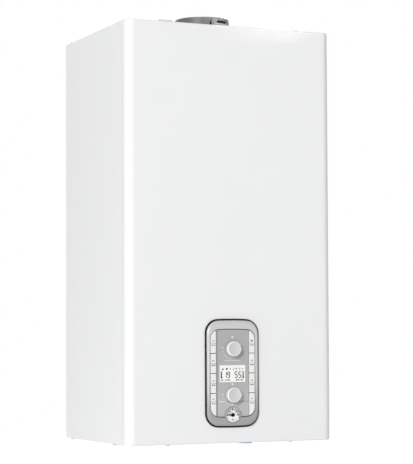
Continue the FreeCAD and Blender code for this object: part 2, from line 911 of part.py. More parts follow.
def gas_valve():
    """Cast gas valve with its two coils, adjusting cap, test port and inlet socket."""
    y = (mixer_front(), mixer_front() + valve_depth)
    x = around(0, valve_width / 2)
    low = fan_z - valve_drop
    high = low + valve_height
    body = bevel_along(box(x, y, (low, high)), vec(0, 0, 1), valve_bevel)
    coils = box((x[0] + valve_bevel, x[1] - valve_bevel), (y[0] + valve_bevel, y[0] + valve_depth / 2),
                (high, high + coil_height))
    back = y[1] - coil_height
    cap = polygon(8, coil_height, vec(0, back, high), vec(0, 0, coil_height * 3 / 4))
    port = polygon(6, coil_height / 2, vec(x[1] - coil_height, back, high), vec(0, 0, coil_height / 2))
    reach = gas_pipe_r + elbow_wall
    socket = box(around(0, reach), (y[1], y[1] + valve_socket), around(gas_inlet_z(), reach))
    return fused([body, coils, cap, port, socket])


def tail(x, y, r):
    """Threaded tail through the floor with its hexagon, at the thread's outer size, and its bore."""
    low = vec(x, y, -connection_drop)
    high = vec(x, y, floor_top + tail_rise)
    body = fused([rod(r, low, high), polygon(6, 2 * (r + nut_margin), high, vec(0, 0, nut_height))])
    return body, polygon(bore_sides, 2 * (r - pipe_wall), low - vec(0, 0, sheet), high - low)


def gas_pipe():
    """Steel pipe from the gas connection up to an elbow, and forward from there to the valve."""
    x, y, r = connections()[2]
    reach = gas_pipe_r + elbow_wall
    top = gas_inlet_z()
    riser = rod(gas_pipe_r, vec(x, y, floor_top + tail_rise), vec(x, y, top))
    elbow = box(around(x, reach), around(y, reach), around(top, reach))
    elbow = bevel_along(elbow, vec(1, 0, 0), elbow_wall)
    branch = rod(gas_pipe_r, vec(x, y, top), vec(x, mixer_front() + valve_depth + valve_socket + lap, top))
    body, bore = tail(x, y, r)
    return fused([riser, elbow, branch, body]).cut(bore)


# Water side

def group_columns(places, tops):
    """The upright waterways of a moulded group, one on each threaded tail."""
    pieces = []
    bores = []
    for (x, y, r), top in zip(places, tops):
        body, bore = tail(x, y, r)
        pieces.append(body)
        bores.append(bore)
        pieces.append(box(around(x, r), around(y, r), (floor_top + tail_rise + nut_height, top)))
    return pieces, bores


def exchanger_ports(x):
    """The two arms of a group that reach forward to the plate exchanger."""
    y = (exchanger_rear + lap, connection_y)
    heights = (exchanger_low + port_inset, exchanger_high - port_inset)
    return [box(around(x, port_reach), y, around(z, port_reach)) for z in heights]


def pipe_seat(x, low, high):
    """Square boss that a water pipe stands on."""
    return box(around(x, copper_r + nut_margin), around(water_y, copper_r + nut_margin), (low, high))


def pump_front():
    return connection_y - pump_offset


def pump_body():
    """Return group: pump volute with its air vent, cold water column, filling and relief bosses."""
    cold, back = connections()[3:]
    arm = (arm_low, arm_high)
    pieces, cuts = group_columns((cold, back), (exchanger_high, pump_z - pump_r + pump_wall))
    axis = vec(back[0], pump_front(), pump_z)
    pieces.append(polygon(round_sides, 2 * pump_r, axis, vec(0, pump_depth, 0)))
    cuts.append(polygon(round_sides, 2 * (pump_r - pump_wall), axis - vec(0, sheet, 0),
                        vec(0, pump_depth - pump_wall, 0)))
    vent = vec(back[0], connection_y, pump_z + pump_r - pump_wall)
    pieces.append(polygon(8, vent_flats, vent, vec(0, 0, vent_height)))
    seat_low = return_seat - seat_depth
    pieces.append(pipe_seat(return_x, seat_low, return_seat))
    pieces.append(box((return_x, back[0]), around(water_y, arm_reach), (seat_low, seat_low + 2 * arm_reach)))
    pieces += exchanger_ports(cold[0])
    pieces.append(box((cold[0], back[0]), around(connection_y, arm_reach), arm))
    pieces.append(box(around(tap_x, arm_reach), (tap_y - arm_reach, relief_y + arm_reach), arm))
    bore = rod(tap_stem_r + running_gap, vec(tap_x, tap_y, arm_low - sheet),
               vec(tap_x, tap_y, tap_stem_top + sheet))
    return cut_all(fused(pieces), cuts + [bore])


def pump_motor():
    """Square electronic head of the pump with its cooling ribs, knob boss and shaft end."""
    x = connections()[4][0]
    face = pump_front() - lap
    front = face - motor_depth
    top = pump_z + motor_reach
    body = box(around(x, motor_reach), (front, face), around(pump_z, motor_reach))
    pieces = [bevel_along(body, vec(0, 1, 0), 2 * motor_rib)]
    pieces.append(polygon(8, motor_reach, vec(x, front, pump_z), vec(0, -2 * motor_rib, 0)))
    for k in (-3, -1, 1, 3):
        pieces.append(box(around(x + k * 2 * motor_rib, motor_rib / 2), (front + motor_rib, face - motor_rib),
                          (top, top + motor_rib)))
    pieces.append(polygon(8, shaft_flats, vec(x, face, pump_z), vec(0, motor_rib, 0)))
    return fused(pieces)


def pump_impeller():
    start = vec(connections()[4][0], pump_front() + motor_rib, pump_z)
    depth = pump_depth - 2 * pump_wall - 3 * motor_rib
    return bladed_wheel(pump_wheel_r, pump_blades, pump_lean, start, depth)


def flow_manifold():
    """Flow group: diverter body, heating and hot water columns and the vessel's boss."""
    heating, hot = connections()[:2]
    x, y = heating[:2]
    pieces, cuts = group_columns((heating, hot), (diverter_top - diverter_body, exchanger_high))
    low = diverter_top - diverter_body
    pieces.append(box(around(x, diverter_r), around(y, diverter_r), (low, diverter_top)))
    cuts.append(box(around(x, diverter_bore), around(y, diverter_bore),
                    (low + diverter_wall, diverter_top - diverter_wall)))
    cuts.append(rod(stem_r + running_gap, vec(x, y, diverter_top - 2 * diverter_wall),
                    vec(x, y, diverter_top + sheet)))
    seat_low = flow_seat - seat_depth
    pieces.append(pipe_seat(flow_x, seat_low, flow_seat))
    pieces.append(box((x, flow_x), around(water_y, arm_reach), (seat_low, seat_low + 2 * arm_reach)))
    pieces += exchanger_ports(hot[0])
    pieces.append(box((x, hot[0]), around(y, arm_reach), (arm_low, arm_high)))
    pieces.append(box(around(vessel_x, arm_reach), (y, vessel_tail_y + arm_reach),
                      (vessel_arm - arm_reach, vessel_arm)))
    pieces.append(box(sorted((vessel_x, x)), around(y, arm_reach), (low, vessel_arm)))
    return cut_all(fused(pieces), cuts)


def diverter_motor():
    """Actuator of the diverter: a bevelled housing with its plug, bored for the spindle's stem."""
    x, y = connections()[0][:2]
    low = diverter_top + lap
    body = box(around(x, diverter_motor_x), around(y, diverter_motor_y), (low, low + diverter_motor_height))
    side = x + diverter_motor_x
    plug = box((side, side + arm_reach), around(y, arm_reach), (low + arm_reach, low + 2 * arm_reach))
    depth = stem_length - plug_drop + 2 * arm_reach
    bore = rod(stem_r + running_gap, vec(x, y, low - sheet), vec(x, y, low + depth))
    return bevel_along(body, vec(0, 0, 1), diverter_wall).fuse(plug).cut(bore)


def diverter_spindle():
    """Valve plug on its stem; it rises to send the heat to the heating circuit."""
    x, y = connections()[0][:2]
    low = vec(x, y, diverter_top - plug_drop)
    plug = polygon(bore_sides, plug_flats, low, vec(0, 0, plug_height))
    return fused([plug, rod(stem_r, low, low + vec(0, 0, stem_length))])


def plate_heat_exchanger():
    """Brazed pack of plates whose cut corners stand out from the core."""
    front = exchanger_rear - exchanger_depth
    side = exchanger_length / 2
    step = (exchanger_depth - exchanger_plate) / (exchanger_plates - 1)

    def slab(margin, y):
        block = box((-side + margin, side - margin), y, (exchanger_low + margin, exchanger_high - margin))
        return bevel_along(block, vec(0, 1, 0), exchanger_corner - margin)
    pieces = [slab(exchanger_plate, (front, exchanger_rear))]
    for k in range(exchanger_plates):
        pieces.append(slab(0, (front + step * k, front + step * k + exchanger_plate)))
    return fused(pieces)


def safety_valve():
    """Relief valve on the return group's boss: drain tail below it, bonnet and stem above it."""
    base = vec(tap_x, relief_y, 0)
    low = base - vec(0, 0, drain_drop)
    nut = arm_low - relief_nut
    drain = rod(relief_r, low, base + vec(0, 0, nut))
    head = polygon(6, relief_flats, base + vec(0, 0, nut), vec(0, 0, relief_nut - lap))
    bonnet = polygon(8, relief_flats, base + vec(0, 0, arm_high + lap), vec(0, 0, bonnet_height))
    stem = rod(stem_r, base + vec(0, 0, arm_high + bonnet_height), base + vec(0, 0, relief_stem))
    bore = polygon(8, relief_flats / 2, low - vec(0, 0, sheet), vec(0, 0, nut))
    return [fused([drain, head]).cut(bore), fused([bonnet, stem])]


def safety_valve_knob():
    """Twist cap of the relief valve with its grip flats."""
    base = vec(tap_x, relief_y, arm_high + bonnet_height + 2 * lap)
    cap = polygon(bore_sides, relief_cap_flats, base, vec(0, 0, relief_cap))
    return cap.cut(rod(stem_r + running_gap, base - vec(0, 0, sheet), vec(tap_x, relief_y, relief_stem + lap)))


def filling_tap():
    """Handle of the filling tap below the floor, with its spindle up in the return group."""
    base = vec(tap_x, tap_y, -connection_drop - sheet)
    handle = polygon(bore_sides, 2 * (tap_r - sheet), base, vec(0, 0, tap_height))
    return fused([handle, rod(tap_stem_r, base, vec(tap_x, tap_y, tap_stem_top))])


def condensate_trap():
    """Moulded trap under the drain, with its tail through the floor and its cleaning cap."""
    x = around(trap_x, trap_reach_x)
    y = around(trap_y, trap_reach_y)
    high = trap_top - trap_neck
    body = bevel_along(box(x, y, (trap_low, high)), vec(0, 0, 1), trap_bevel)
    neck = polygon(8, 2 * (hose_r + nut_margin), vec(trap_x, trap_y, high), vec(0, 0, trap_neck))
    low = vec(trap_x, trap_y, -drain_drop)
    drain = rod(drain_r, low, vec(trap_x, trap_y, trap_low))
    cap_z = trap_low + trap_reach_x
    cap = polygon(8, 2 * hose_r + trap_bevel, vec(trap_x, y[0], cap_z), vec(0, -trap_bevel, 0))
    strap = box(around(trap_x, hose_r), (y[1], frame_face), around(cap_z + trap_neck, hose_r / 2))
    bore = polygon(bore_sides, 2 * (drain_r - hose_wall), low - vec(0, 0, sheet), vec(0, 0, trap_low))
    return cut_all(fused([body, neck, drain, cap, strap]), [bore])


def condensate_hose():
    """Smooth hose from the heat engine's drain down to the trap."""
    low = vec(trap_x, trap_y, trap_top + lap)
    high = vec(trap_x, trap_y, stub_low() - lap)
    return rod(hose_r, low, high).cut(polygon(bore_sides, 2 * (hose_r - hose_wall), low, high - low))


def expansion_vessel():
    """Flat vessel pressed from two halves that meet at a rolled seam, on its foot."""
    left = -half + 3 * sheet
    y = (engine_rear - vessel_depth, engine_rear)
    middle = left + vessel_width / 2

    def level(reach, margin):
        block = box(around(middle, reach), (y[0] + margin, y[1] - margin),
                    (vessel_low + margin, vessel_high - margin))
        return bevel_along(block, vec(1, 0, 0), vessel_corner - margin)
    foot = box(around(middle, vessel_foot_x), around((y[0] + y[1]) / 2, vessel_foot_y),
               (chamber_floor_z + lap, vessel_low + sheet))
    nut = polygon(6, 3 * vessel_pipe_r, vec(vessel_x, vessel_tail_y, vessel_low - vessel_nut),
                  vec(0, 0, vessel_nut + sheet))
    return fused([level(vessel_width / 2, vessel_seam), level(vessel_seam / 2, 0), foot, nut])


def water_pipes():
    """Heating flow and return to the heat engine, and the expansion vessel's pipe."""
    runs = ((copper_r, flow_x, water_y, flow_seat, stub_low()),
            (copper_r, return_x, water_y, return_seat, stub_low()),
            (vessel_pipe_r, vessel_x, vessel_tail_y, vessel_arm, vessel_low - vessel_nut))
    return [rod(r, vec(x, y, low + lap), vec(x, y, high - lap)) for r, x, y, low, high in runs]


# Control panel

def fascia_outline(inset, y):
    """The fascia's outline drawn in by inset all round."""
    return arched_block(fascia_width - 2 * inset, fascia_low + inset, fascia_high - inset,
                        fascia_corner - inset, y)


def field_outline(inset, y):
    """The inner field's outline drawn in by inset all round."""
    return arched_block(field_width - 2 * inset, field_low + inset, field_high - inset,
                        field_corner - inset, y)


def gauge_hole():
    return rod(gauge_r + lap, vec(fascia_x, fascia_front - sheet, gauge_z),
               vec(fascia_x, box_front + sheet, gauge_z))


def fascia_rim():
    y = (-casing_depth - rim_proud, box_front)
    return fascia_outline(0, y).cut(fascia_outline(rim_width, (y[0] - sheet, y[1] + sheet)))


def fascia_bezel():
    y = (fascia_front, box_front)
    hollow = field_outline(0, (y[0] - sheet, y[1] + sheet))
    return cut_all(fascia_outline(rim_width, y), [hollow, gauge_hole()])


def centre_block(low, high):
    """A strip of the field between the button columns, hollow behind its skin."""
    side = centre_width / 2
    wall = fascia_arch
    y = (field_front, box_front)
    strip = field_outline(field_groove, y).common(box(around(fascia_x, side), y, (low, high)))
    pocket = box(around(fascia_x, side - wall), (y[0] + panel_skin, y[1] + sheet),
                 (max(low, field_low) + 2 * wall, min(high, field_high) - 2 * wall))
    return strip.cut(pocket)


def centre_panel():
    """Upper plate of the field with its display window and the knobs' spindle holes."""
    y = (field_front - sheet, field_front + panel_skin + sheet)
    cuts = [box(around(fascia_x, lcd_width / 2), y, (lcd_low, lcd_high))]
    for z in knob_heights:
        cuts.append(polygon(bore_sides, 2 * (spindle_r + 2 * lap), vec(fascia_x, y[0], z), vec(0, y[1] - y[0], 0)))
    return cut_all(centre_block(insert_split + lap / 2, casing_height), cuts)


def lower_insert():
    return centre_block(0, insert_split - lap / 2).cut(gauge_hole())


def knob(z):
    """Round knob with a small pointer at three o'clock and the spindle that turns its encoder."""
    base = vec(fascia_x, field_front - lap, z)
    body = rod(knob_r, base, base - vec(0, knob_depth, 0))
    spindle = polygon(8, 2 * spindle_r, base, vec(0, board_y - encoder_depth - lap - base.y, 0))
    spread = pointer_reach
    tip = [vec(knob_r - spread, 0, -spread), vec(knob_r + pointer_reach, 0, 0), vec(knob_r - spread, 0, spread)]
    pointer = prism(tip, vec(0, -knob_depth / 2, 0))
    pointer.translate(base)
    return fused([body, spindle, pointer])


def rotary_encoders():
    """The two encoders that the knobs turn, on the main board."""
    y = (board_y - encoder_depth, board_y - lap)
    return [box(around(fascia_x, encoder_side), y, around(z, encoder_side)) for z in knob_heights]


def button(side, row):
    """One key of a column; its outer edge follows the field's rounded outline."""
    y = (field_front - key_proud, box_front - button_travel - lap)
    near = centre_width / 2 + column_gap
    low = 0 if row == 0 else button_lowest_gap + button_pitch * (row - 1) + button_gap / 2
    high = casing_height if row == button_count - 1 else button_lowest_gap + button_pitch * row - button_gap / 2
    column = box((near, field_width), y, (low, high))
    if side < 0:
        column = mirrored(column)
    column.translate(vec(fascia_x, 0, 0))
    return field_outline(field_groove, y).common(column)


def display():
    """Display module behind the window, which stands on the main board."""
    skin = field_front + panel_skin + lap / 2
    return box(around(fascia_x, lcd_width / 2 + panel_skin), (skin, board_y - lap),
               (lcd_low - panel_skin, lcd_high + panel_skin))


def gauge_case():
    """Cup of the pressure gauge with its front ring and dial floor."""
    base = vec(fascia_x, gauge_front, gauge_z)
    cup = rod(gauge_r, base, vec(fascia_x, box_front - lap, gauge_z))
    well = polygon(round_sides, 2 * (gauge_r - gauge_ring), base, vec(0, dial_depth, 0))
    pin = rod(needle_pin_r + running_gap, base, base + vec(0, 2 * dial_depth, 0))
    return cut_all(cup, [well, pin])


def gauge_needle():
    """Pointer that reads nine o'clock at zero pressure, with its hub and pin."""
    y = gauge_front + dial_depth - sheet
    reach = gauge_r - gauge_ring - needle_gap
    tip = needle_gauge / 2
    root = needle_hub / 4
    outline = [(-reach, tip), (-reach, -tip), (0, -root), (needle_hub, -root), (needle_hub, root), (0, root)]
    blade = prism([vec(fascia_x + x, y, gauge_z + z) for x, z in outline], vec(0, needle_gauge, 0))
    middle = vec(fascia_x, y, gauge_z)
    hub = polygon(8, needle_hub, middle - vec(0, needle_gauge, 0), vec(0, 2 * needle_gauge, 0))
    return fused([blade, hub, rod(needle_pin_r, middle, middle + vec(0, dial_depth, 0))])


def gauge_lens():
    flats = 2 * (gauge_r - gauge_ring - running_gap)
    return polygon(round_sides, flats, vec(fascia_x, gauge_front + lens_inset, gauge_z), vec(0, sheet, 0))


def control_box():
    """Moulded tray that carries the face, the board and the pivots."""
    side = box_width / 2
    outer = box((-side, side), (box_front, box_rear), (box_low, box_high))
    inner = box((-side + box_wall, side - box_wall), (box_front + box_wall, box_rear + sheet),
                (box_low + box_wall, box_high - box_wall))
    window = box(around(fascia_x, centre_width / 2 + encoder_side), (box_front - sheet, box_front + 2 * box_wall),
                 (gauge_z + gauge_r, field_high - box_corner))
    shell = cut_all(bevel_along(outer, vec(0, 1, 0), box_corner),
                    [bevel_along(inner, vec(0, 1, 0), box_corner - box_wall), window])
    pieces = [shell]
    for x in around(0, board_width / 2 - post_inset):
        for z in (board_low + post_inset, board_high - post_inset):
            pieces.append(box(around(x, post_reach), (box_front + box_wall, board_y - lap), around(z, post_reach)))
    arm = side - pivot_arm
    end = arm + box_wall + ear_gauge + sheet
    pieces += both_sides(box((arm - post_reach, arm), around(pivot_y, pivot_r + box_wall),
                             (pivot_z - pivot_r - box_wall, box_low + box_wall)))
    pieces += both_sides(rod(pivot_r, vec(arm, pivot_y, pivot_z), vec(end, pivot_y, pivot_z)))
    return fused(pieces)


def control_box_cover():
    """Rear lid with a shallow raised field and cable slots along its lower edge."""
    side = box_width / 2
    y = box_rear + lap
    lid = bevel_along(box((-side, side), (y, y + box_wall), (box_low, box_high)), vec(0, 1, 0), box_corner)
    raised = box((-side + cover_margin, side - cover_margin), (y, y + cover_rise),
                 (box_low + cover_margin, box_high - cover_margin))
    slots = []
    for k in (-1.5, -0.5, 0.5, 1.5):
        slots.append(box(around(slot_pitch * k, slot_reach), (y - sheet, y + 2 * box_wall),
                         (box_low + cover_rise, box_low + cover_rise + slot_reach)))
    return cut_all(fused([lid, bevel_along(raised, vec(0, 1, 0), cover_rise)]), slots)


def main_board():
    """Circuit board with its transformer, relays, terminal blocks and fuse on the back."""
    back = board_y + board_gauge
    pieces = [box(around(0, board_width / 2), (board_y, back), (board_low, board_high))]
    relay_z = board_high - relay_height - 2 * post_inset
    right = board_width / 2 - transformer / 2
    pieces.append(box((right - transformer, right), (back, back + transformer),
                      around(relay_z, transformer / 2)))
    for k in range(4):
        x = relay_pitch * (k - 4)
        pieces.append(box(around(x, relay_reach), (back, back + 2 * relay_reach),
                          around(relay_z, relay_height / 2)))
    for k in (-1, 0, 1):
        pieces.append(box(around(terminal_pitch * k, terminal_reach), (back, back + 2 * relay_reach),
                          around(board_low + transformer, relay_reach)))
    return fused(pieces)


# Every node, one file each

nodes = {
    "front_panel": front_panel(),
    "front_seal": front_seal(),
    "right_side_panel": side_panel(),
    "left_side_panel": mirrored(side_panel()),
    "top_plate": top_plate(),
    "bottom_plate": bottom_plate(),
    "rear_frame": rear_frame(),
    "wall_bracket": wall_bracket(),
    "casing_screws": casing_screws(),
    "chamber_floor": chamber_floor(),
    "flue_collar": flue_collar(),
    "flue_duct": flue_duct(),
    "sampling_plugs": sampling_plugs(),
    "heat_exchanger": heat_exchanger(),
    "burner_door": burner_door(),
    "burner": burner(),
    "electrodes": electrodes(),
    "fan_housing": fan_housing(),
    "fan_impeller": fan_impeller(),
    "fan_motor": fan_motor(),
    "mixing_duct": mixing_duct(),
    "gas_mixer": gas_mixer(),
    "gas_valve": gas_valve(),
    "gas_pipe": gas_pipe(),
    "pump_body": pump_body(),
    "pump_motor": pump_motor(),
    "pump_impeller": pump_impeller(),
    "flow_manifold": flow_manifold(),
    "diverter_motor": diverter_motor(),
    "diverter_spindle": diverter_spindle(),
    "plate_heat_exchanger": plate_heat_exchanger(),
    "safety_valve": safety_valve(),
    "safety_valve_knob": safety_valve_knob(),
    "filling_tap": filling_tap(),
    "condensate_trap": condensate_trap(),
    "condensate_hose": condensate_hose(),
    "expansion_vessel": expansion_vessel(),
    "water_pipes": water_pipes(),
    "fascia_rim": fascia_rim(),
    "fascia_bezel": fascia_bezel(),
    "centre_panel": centre_panel(),
    "lower_insert": lower_insert(),
    "knob_heating": knob(knob_heights[0]),
    "knob_hot_water": knob(knob_heights[1]),
    "rotary_encoders": rotary_encoders(),
    "display": display(),
    "gauge_case": gauge_case(),
    "gauge_needle": gauge_needle(),
    "gauge_lens": gauge_lens(),
    "control_box": control_box(),
    "control_box_cover": control_box_cover(),
    "main_board": main_board(),
}
for row in range(button_count):
    nodes["button_left_%d" % (row + 1)] = button(-1, row)
    nodes["button_right_%d" % (row + 1)] = button(1, row)
for node, solids in nodes.items():
    save(node, solids)
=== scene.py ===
import math

import bmesh
import bpy
from mathutils import Matrix, Vector


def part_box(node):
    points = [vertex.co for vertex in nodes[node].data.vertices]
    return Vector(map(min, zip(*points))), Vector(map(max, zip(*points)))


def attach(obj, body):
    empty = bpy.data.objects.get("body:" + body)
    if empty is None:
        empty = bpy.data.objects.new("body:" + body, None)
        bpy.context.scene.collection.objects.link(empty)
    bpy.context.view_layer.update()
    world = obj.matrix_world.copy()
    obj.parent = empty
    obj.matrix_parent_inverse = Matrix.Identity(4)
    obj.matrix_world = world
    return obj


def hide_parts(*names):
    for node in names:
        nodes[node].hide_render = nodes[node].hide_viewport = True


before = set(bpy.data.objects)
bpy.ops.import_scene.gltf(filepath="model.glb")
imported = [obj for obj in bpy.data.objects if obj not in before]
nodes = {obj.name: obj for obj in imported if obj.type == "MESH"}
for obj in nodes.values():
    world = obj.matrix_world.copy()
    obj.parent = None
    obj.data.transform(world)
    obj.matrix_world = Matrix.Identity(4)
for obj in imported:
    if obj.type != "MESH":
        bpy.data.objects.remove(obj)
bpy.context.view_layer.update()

# Sizes are in millimetres, measured as in the CAD: X across, -Y to the front and Z up from
# the casing's bottom edge. They become metres in the frame where a mesh is made.

panel_low, panel_high = [1000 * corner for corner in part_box("front_panel")]
base = panel_low.z
half = panel_high.x
front = panel_low.y
panel_rear = panel_high.y
casing_height = panel_high.z - base

fascia_x = -1.0
arch = 2.0
field_front = -323.4
key_front = field_front - 0.5
centre_front = -322.6
centre_back = -321.2
inner_face = -306.0
centre_half = 31.6
lcd_low, lcd_high, lcd_half = 108.0, 138.0, 25.0
split_z, split_half = 73.8, 0.3
key_gaps = (88.5, 123.8, 159.1)
key_lines = (73.8, 106.2, 141.5, 176.8)
knob_heights = (166.8, 85.3)
knob_r = 13.5
gauge_z, gauge_r = 49.9, 14.5
flue_y, flue_top = -190.0, 773.95
collar_r, collar_bore_r = 50, 47
duct_r, duct_bore_r = 31.5, 30
roof = casing_height - 1.3
flange_low, flange_top = roof + 0.05, roof + 3.3

# Edges that turn by more than this stay sharp
sharp_degrees = 30

# How far printed marks stand out of a face and reach into it
key_print_out, key_print_in = 0.03, 0.05
field_print_out, field_print_in = 0.05, 0.1
fine_print_out, fine_print_in = 0.04, 0.05

scene = bpy.context.scene


def point(x, y, z):
    """A place in the frame, in metres, from CAD millimetres."""
    return Vector((x, y, z + base)) / 1000


# Materials

def shader_of(finish):
    return finish.node_tree.nodes["Principled BSDF"]


def material(name, colour, roughness, metallic=0.0, vary=0.03, grain=900.0, bump=0.03, coat=0.0):
    """A finish whose colour, gloss and relief vary at the scale of its grain, given per metre."""
    broad_grains = 60
    gloss_play = 0.06
    made = bpy.data.materials.new(name)
    made.use_nodes = True
    tree = made.node_tree
    shader = shader_of(made)
    shader.inputs["Metallic"].default_value = metallic
    shader.inputs["Coat Weight"].default_value = coat
    shader.inputs["Coat Roughness"].default_value = 0.15
    place = tree.nodes.new("ShaderNodeTexCoord")
    fine = tree.nodes.new("ShaderNodeTexNoise")
    fine.inputs["Scale"].default_value = grain
    fine.inputs["Detail"].default_value = 4
    broad = tree.nodes.new("ShaderNodeTexNoise")
    broad.inputs["Scale"].default_value = grain / broad_grains
    broad.inputs["Detail"].default_value = 3
    for noise in (fine, broad):
        tree.links.new(place.outputs["Object"], noise.inputs["Vector"])
    shade = tree.nodes.new("ShaderNodeValToRGB")
    shade.color_ramp.elements[0].position = 0.3
    shade.color_ramp.elements[1].position = 0.7
    shade.color_ramp.elements[0].color = [c * (1 - vary) for c in colour] + [1]
    shade.color_ramp.elements[1].color = [min(1, c * (1 + vary)) for c in colour] + [1]
    tree.links.new(broad.outputs["Fac"], shade.inputs["Fac"])
    tree.links.new(shade.outputs["Color"], shader.inputs["Base Color"])
    gloss = tree.nodes.new("ShaderNodeMapRange")
    gloss.inputs["To Min"].default_value = max(0.02, roughness - gloss_play)
    gloss.inputs["To Max"].default_value = min(1, roughness + gloss_play)
    tree.links.new(fine.outputs["Fac"], gloss.inputs["Value"])
    tree.links.new(gloss.outputs["Result"], shader.inputs["Roughness"])
    relief = tree.nodes.new("ShaderNodeBump")
    relief.inputs["Strength"].default_value = bump
    relief.inputs["Distance"].default_value = 1 / grain
    tree.links.new(fine.outputs["Fac"], relief.inputs["Height"])
    tree.links.new(relief.outputs["Normal"], shader.inputs["Normal"])
    return made


def below(name, upper, colour, limit):
    """A copy of a finish that turns to bare threaded metal below a height, as on pipe tails."""
    made = upper.copy()
    made.name = name
    tree = made.node_tree
    output = tree.nodes["Material Output"]
    shader = shader_of(made)
    metal = tree.nodes.new("ShaderNodeBsdfPrincipled")
    metal.inputs["Base Color"].default_value = (*colour, 1)
    metal.inputs["Metallic"].default_value = 1.0
    metal.inputs["Roughness"].default_value = 0.3
    place = tree.nodes.new("ShaderNodeTexCoord")
    split = tree.nodes.new("ShaderNodeSeparateXYZ")
    tree.links.new(place.outputs["Object"], split.inputs["Vector"])
    wave = tree.nodes.new("ShaderNodeTexWave")
    wave.bands_direction = "Z"
    wave.inputs["Scale"].default_value = 170
    wave.inputs["Distortion"].default_value = 0
    tree.links.new(place.outputs["Object"], wave.inputs["Vector"])
    relief = tree.nodes.new("ShaderNodeBump")
    relief.inputs["Distance"].default_value = 0.0008
    tree.links.new(wave.outputs["Fac"], relief.inputs["Height"])
    tree.links.new(relief.outputs["Normal"], metal.inputs["Normal"])
    under = tree.nodes.new("ShaderNodeMath")
    under.operation = "LESS_THAN"
    under.inputs[1].default_value = limit
    tree.links.new(split.outputs["Z"], under.inputs[0])
    mix = tree.nodes.new("ShaderNodeMixShader")
    tree.links.new(under.outputs["Value"], mix.inputs["Fac"])
    tree.links.new(shader.outputs["BSDF"], mix.inputs[1])
    tree.links.new(metal.outputs["BSDF"], mix.inputs[2])
    tree.links.new(mix.outputs["Shader"], output.inputs["Surface"])
    return made


def graded(name, upper, colour, low, high):
    """A copy of a finish that shades into another colour from one height down to another; it paints light and
    shade that fall by height.
    """
    made = upper.copy()
    made.name = name
    tree = made.node_tree
    shader = shader_of(made)
    lit = shader.inputs["Base Color"].links[0].from_socket
    place = tree.nodes.new("ShaderNodeTexCoord")
    split = tree.nodes.new("ShaderNodeSeparateXYZ")
    tree.links.new(place.outputs["Object"], split.inputs["Vector"])
    share = tree.nodes.new("ShaderNodeMapRange")
    share.interpolation_type = "SMOOTHSTEP"
    share.inputs["From Min"].default_value = (high + base) / 1000
    share.inputs["From Max"].default_value = (low + base) / 1000
    tree.links.new(split.outputs["Z"], share.inputs["Value"])
    mix = tree.nodes.new("ShaderNodeMix")
    mix.data_type = "RGBA"
    mix.inputs["B"].default_value = (*colour, 1)
    tree.links.new(share.outputs["Result"], mix.inputs["Factor"])
    tree.links.new(lit, mix.inputs["A"])
    tree.links.new(mix.outputs["Result"], shader.inputs["Base Color"])
    return made


paint = material("white_powder_coat", (0.86, 0.865, 0.87), 0.42, vary=0.004, grain=1400, bump=0.06, coat=0.15)
zinc = material("zinc_sheet", (0.6, 0.61, 0.62), 0.42, metallic=0.9, vary=0.08, grain=500, bump=0.05)
inner_sheet = material("inner_sheet", (0.62, 0.63, 0.63), 0.5, metallic=0.6, vary=0.05, grain=500, bump=0.04)
black_rim = material("black_rim_plastic", (0.01, 0.01, 0.011), 0.5, vary=0.1, grain=1800, bump=0.04)
shader_of(black_rim).inputs["Specular IOR Level"].default_value = 0.12
# Painted shade: a black without sheen, put in the collar's slit and recess where only shade falls.
painted_shade_finish = material("painted_shade_black", (0.006, 0.006, 0.006), 0.9, vary=0.1, grain=1800, bump=0.02)
shader_of(painted_shade_finish).inputs["Specular IOR Level"].default_value = 0
silver = material("silver_paint_plain", (0.56, 0.56, 0.57), 0.42, metallic=0.2, vary=0.02, grain=2500,
                  bump=0.05)
# Painted shade: the silver darkens from 120 mm down to 48 mm, standing in for the shade on the bezel's lower
# part.
silver = graded("silver_paint", silver, (0.34, 0.34, 0.345), 48, 120)
field_grey = material("field_plastic_plain", (0.42, 0.42, 0.425), 0.5, vary=0.02, grain=2200, bump=0.08)
# Painted light: the grey field turns paler from 150 mm down to 45 mm, standing in for more light on its lower
# part.
field_grey = graded("field_plastic", field_grey, (0.5, 0.5, 0.505), 45, 150)
# Painted shadow: a darker grey for the band by the left keys, where their shadow falls on the centre plate.
key_shadow_grey = material("painted_key_shadow", (0.3, 0.3, 0.305), 0.5, vary=0.02, grain=2200, bump=0.08)
# Painted shade: near black for the floor under the field, standing in for the shade in the gaps round its
# plates and keys.
groove_shade_finish = material("shadow_groove", (0.06, 0.06, 0.06), 0.7, vary=0.1, grain=1500, bump=0.05)
key_white = material("key_plastic", (0.86, 0.86, 0.855), 0.42, vary=0.008, grain=2200, bump=0.05)
knob_grey = material("knob_plastic", (0.63, 0.63, 0.63), 0.4, vary=0.015, grain=2500, bump=0.06)
# Painted highlight: a near-white copy of the knob's grey for the bevels, standing in for the light they
# catch; the pointers share it.
knob_highlight_finish = material("knob_rim_painted_highlight", (0.95, 0.95, 0.945), 0.35, vary=0.01, grain=2500, bump=0.05)
lcd_face = material("lcd_face", (0.95, 0.945, 0.905), 0.3, vary=0.008, grain=1200, bump=0.01, coat=0.2)
lcd_ink = material("lcd_ink", (0.03, 0.027, 0.02), 0.5, vary=0.05, grain=3000, bump=0.01)
dial_white = material("dial_white", (0.82, 0.82, 0.81), 0.5, vary=0.01, grain=2500, bump=0.02)
dial_grey = material("dial_grey", (0.38, 0.38, 0.39), 0.5, vary=0.02, grain=2500, bump=0.02)
dial_upper = material("dial_upper", (0.66, 0.66, 0.66), 0.5, vary=0.02, grain=2500, bump=0.02)
print_dark = material("print_dark", (0.03, 0.03, 0.03), 0.6, vary=0.1, grain=3000, bump=0.01)
print_grey = material("print_grey", (0.2, 0.2, 0.2), 0.6, vary=0.08, grain=3000, bump=0.01)
print_light = material("print_light", (0.8, 0.8, 0.8), 0.5, vary=0.03, grain=3000, bump=0.01)
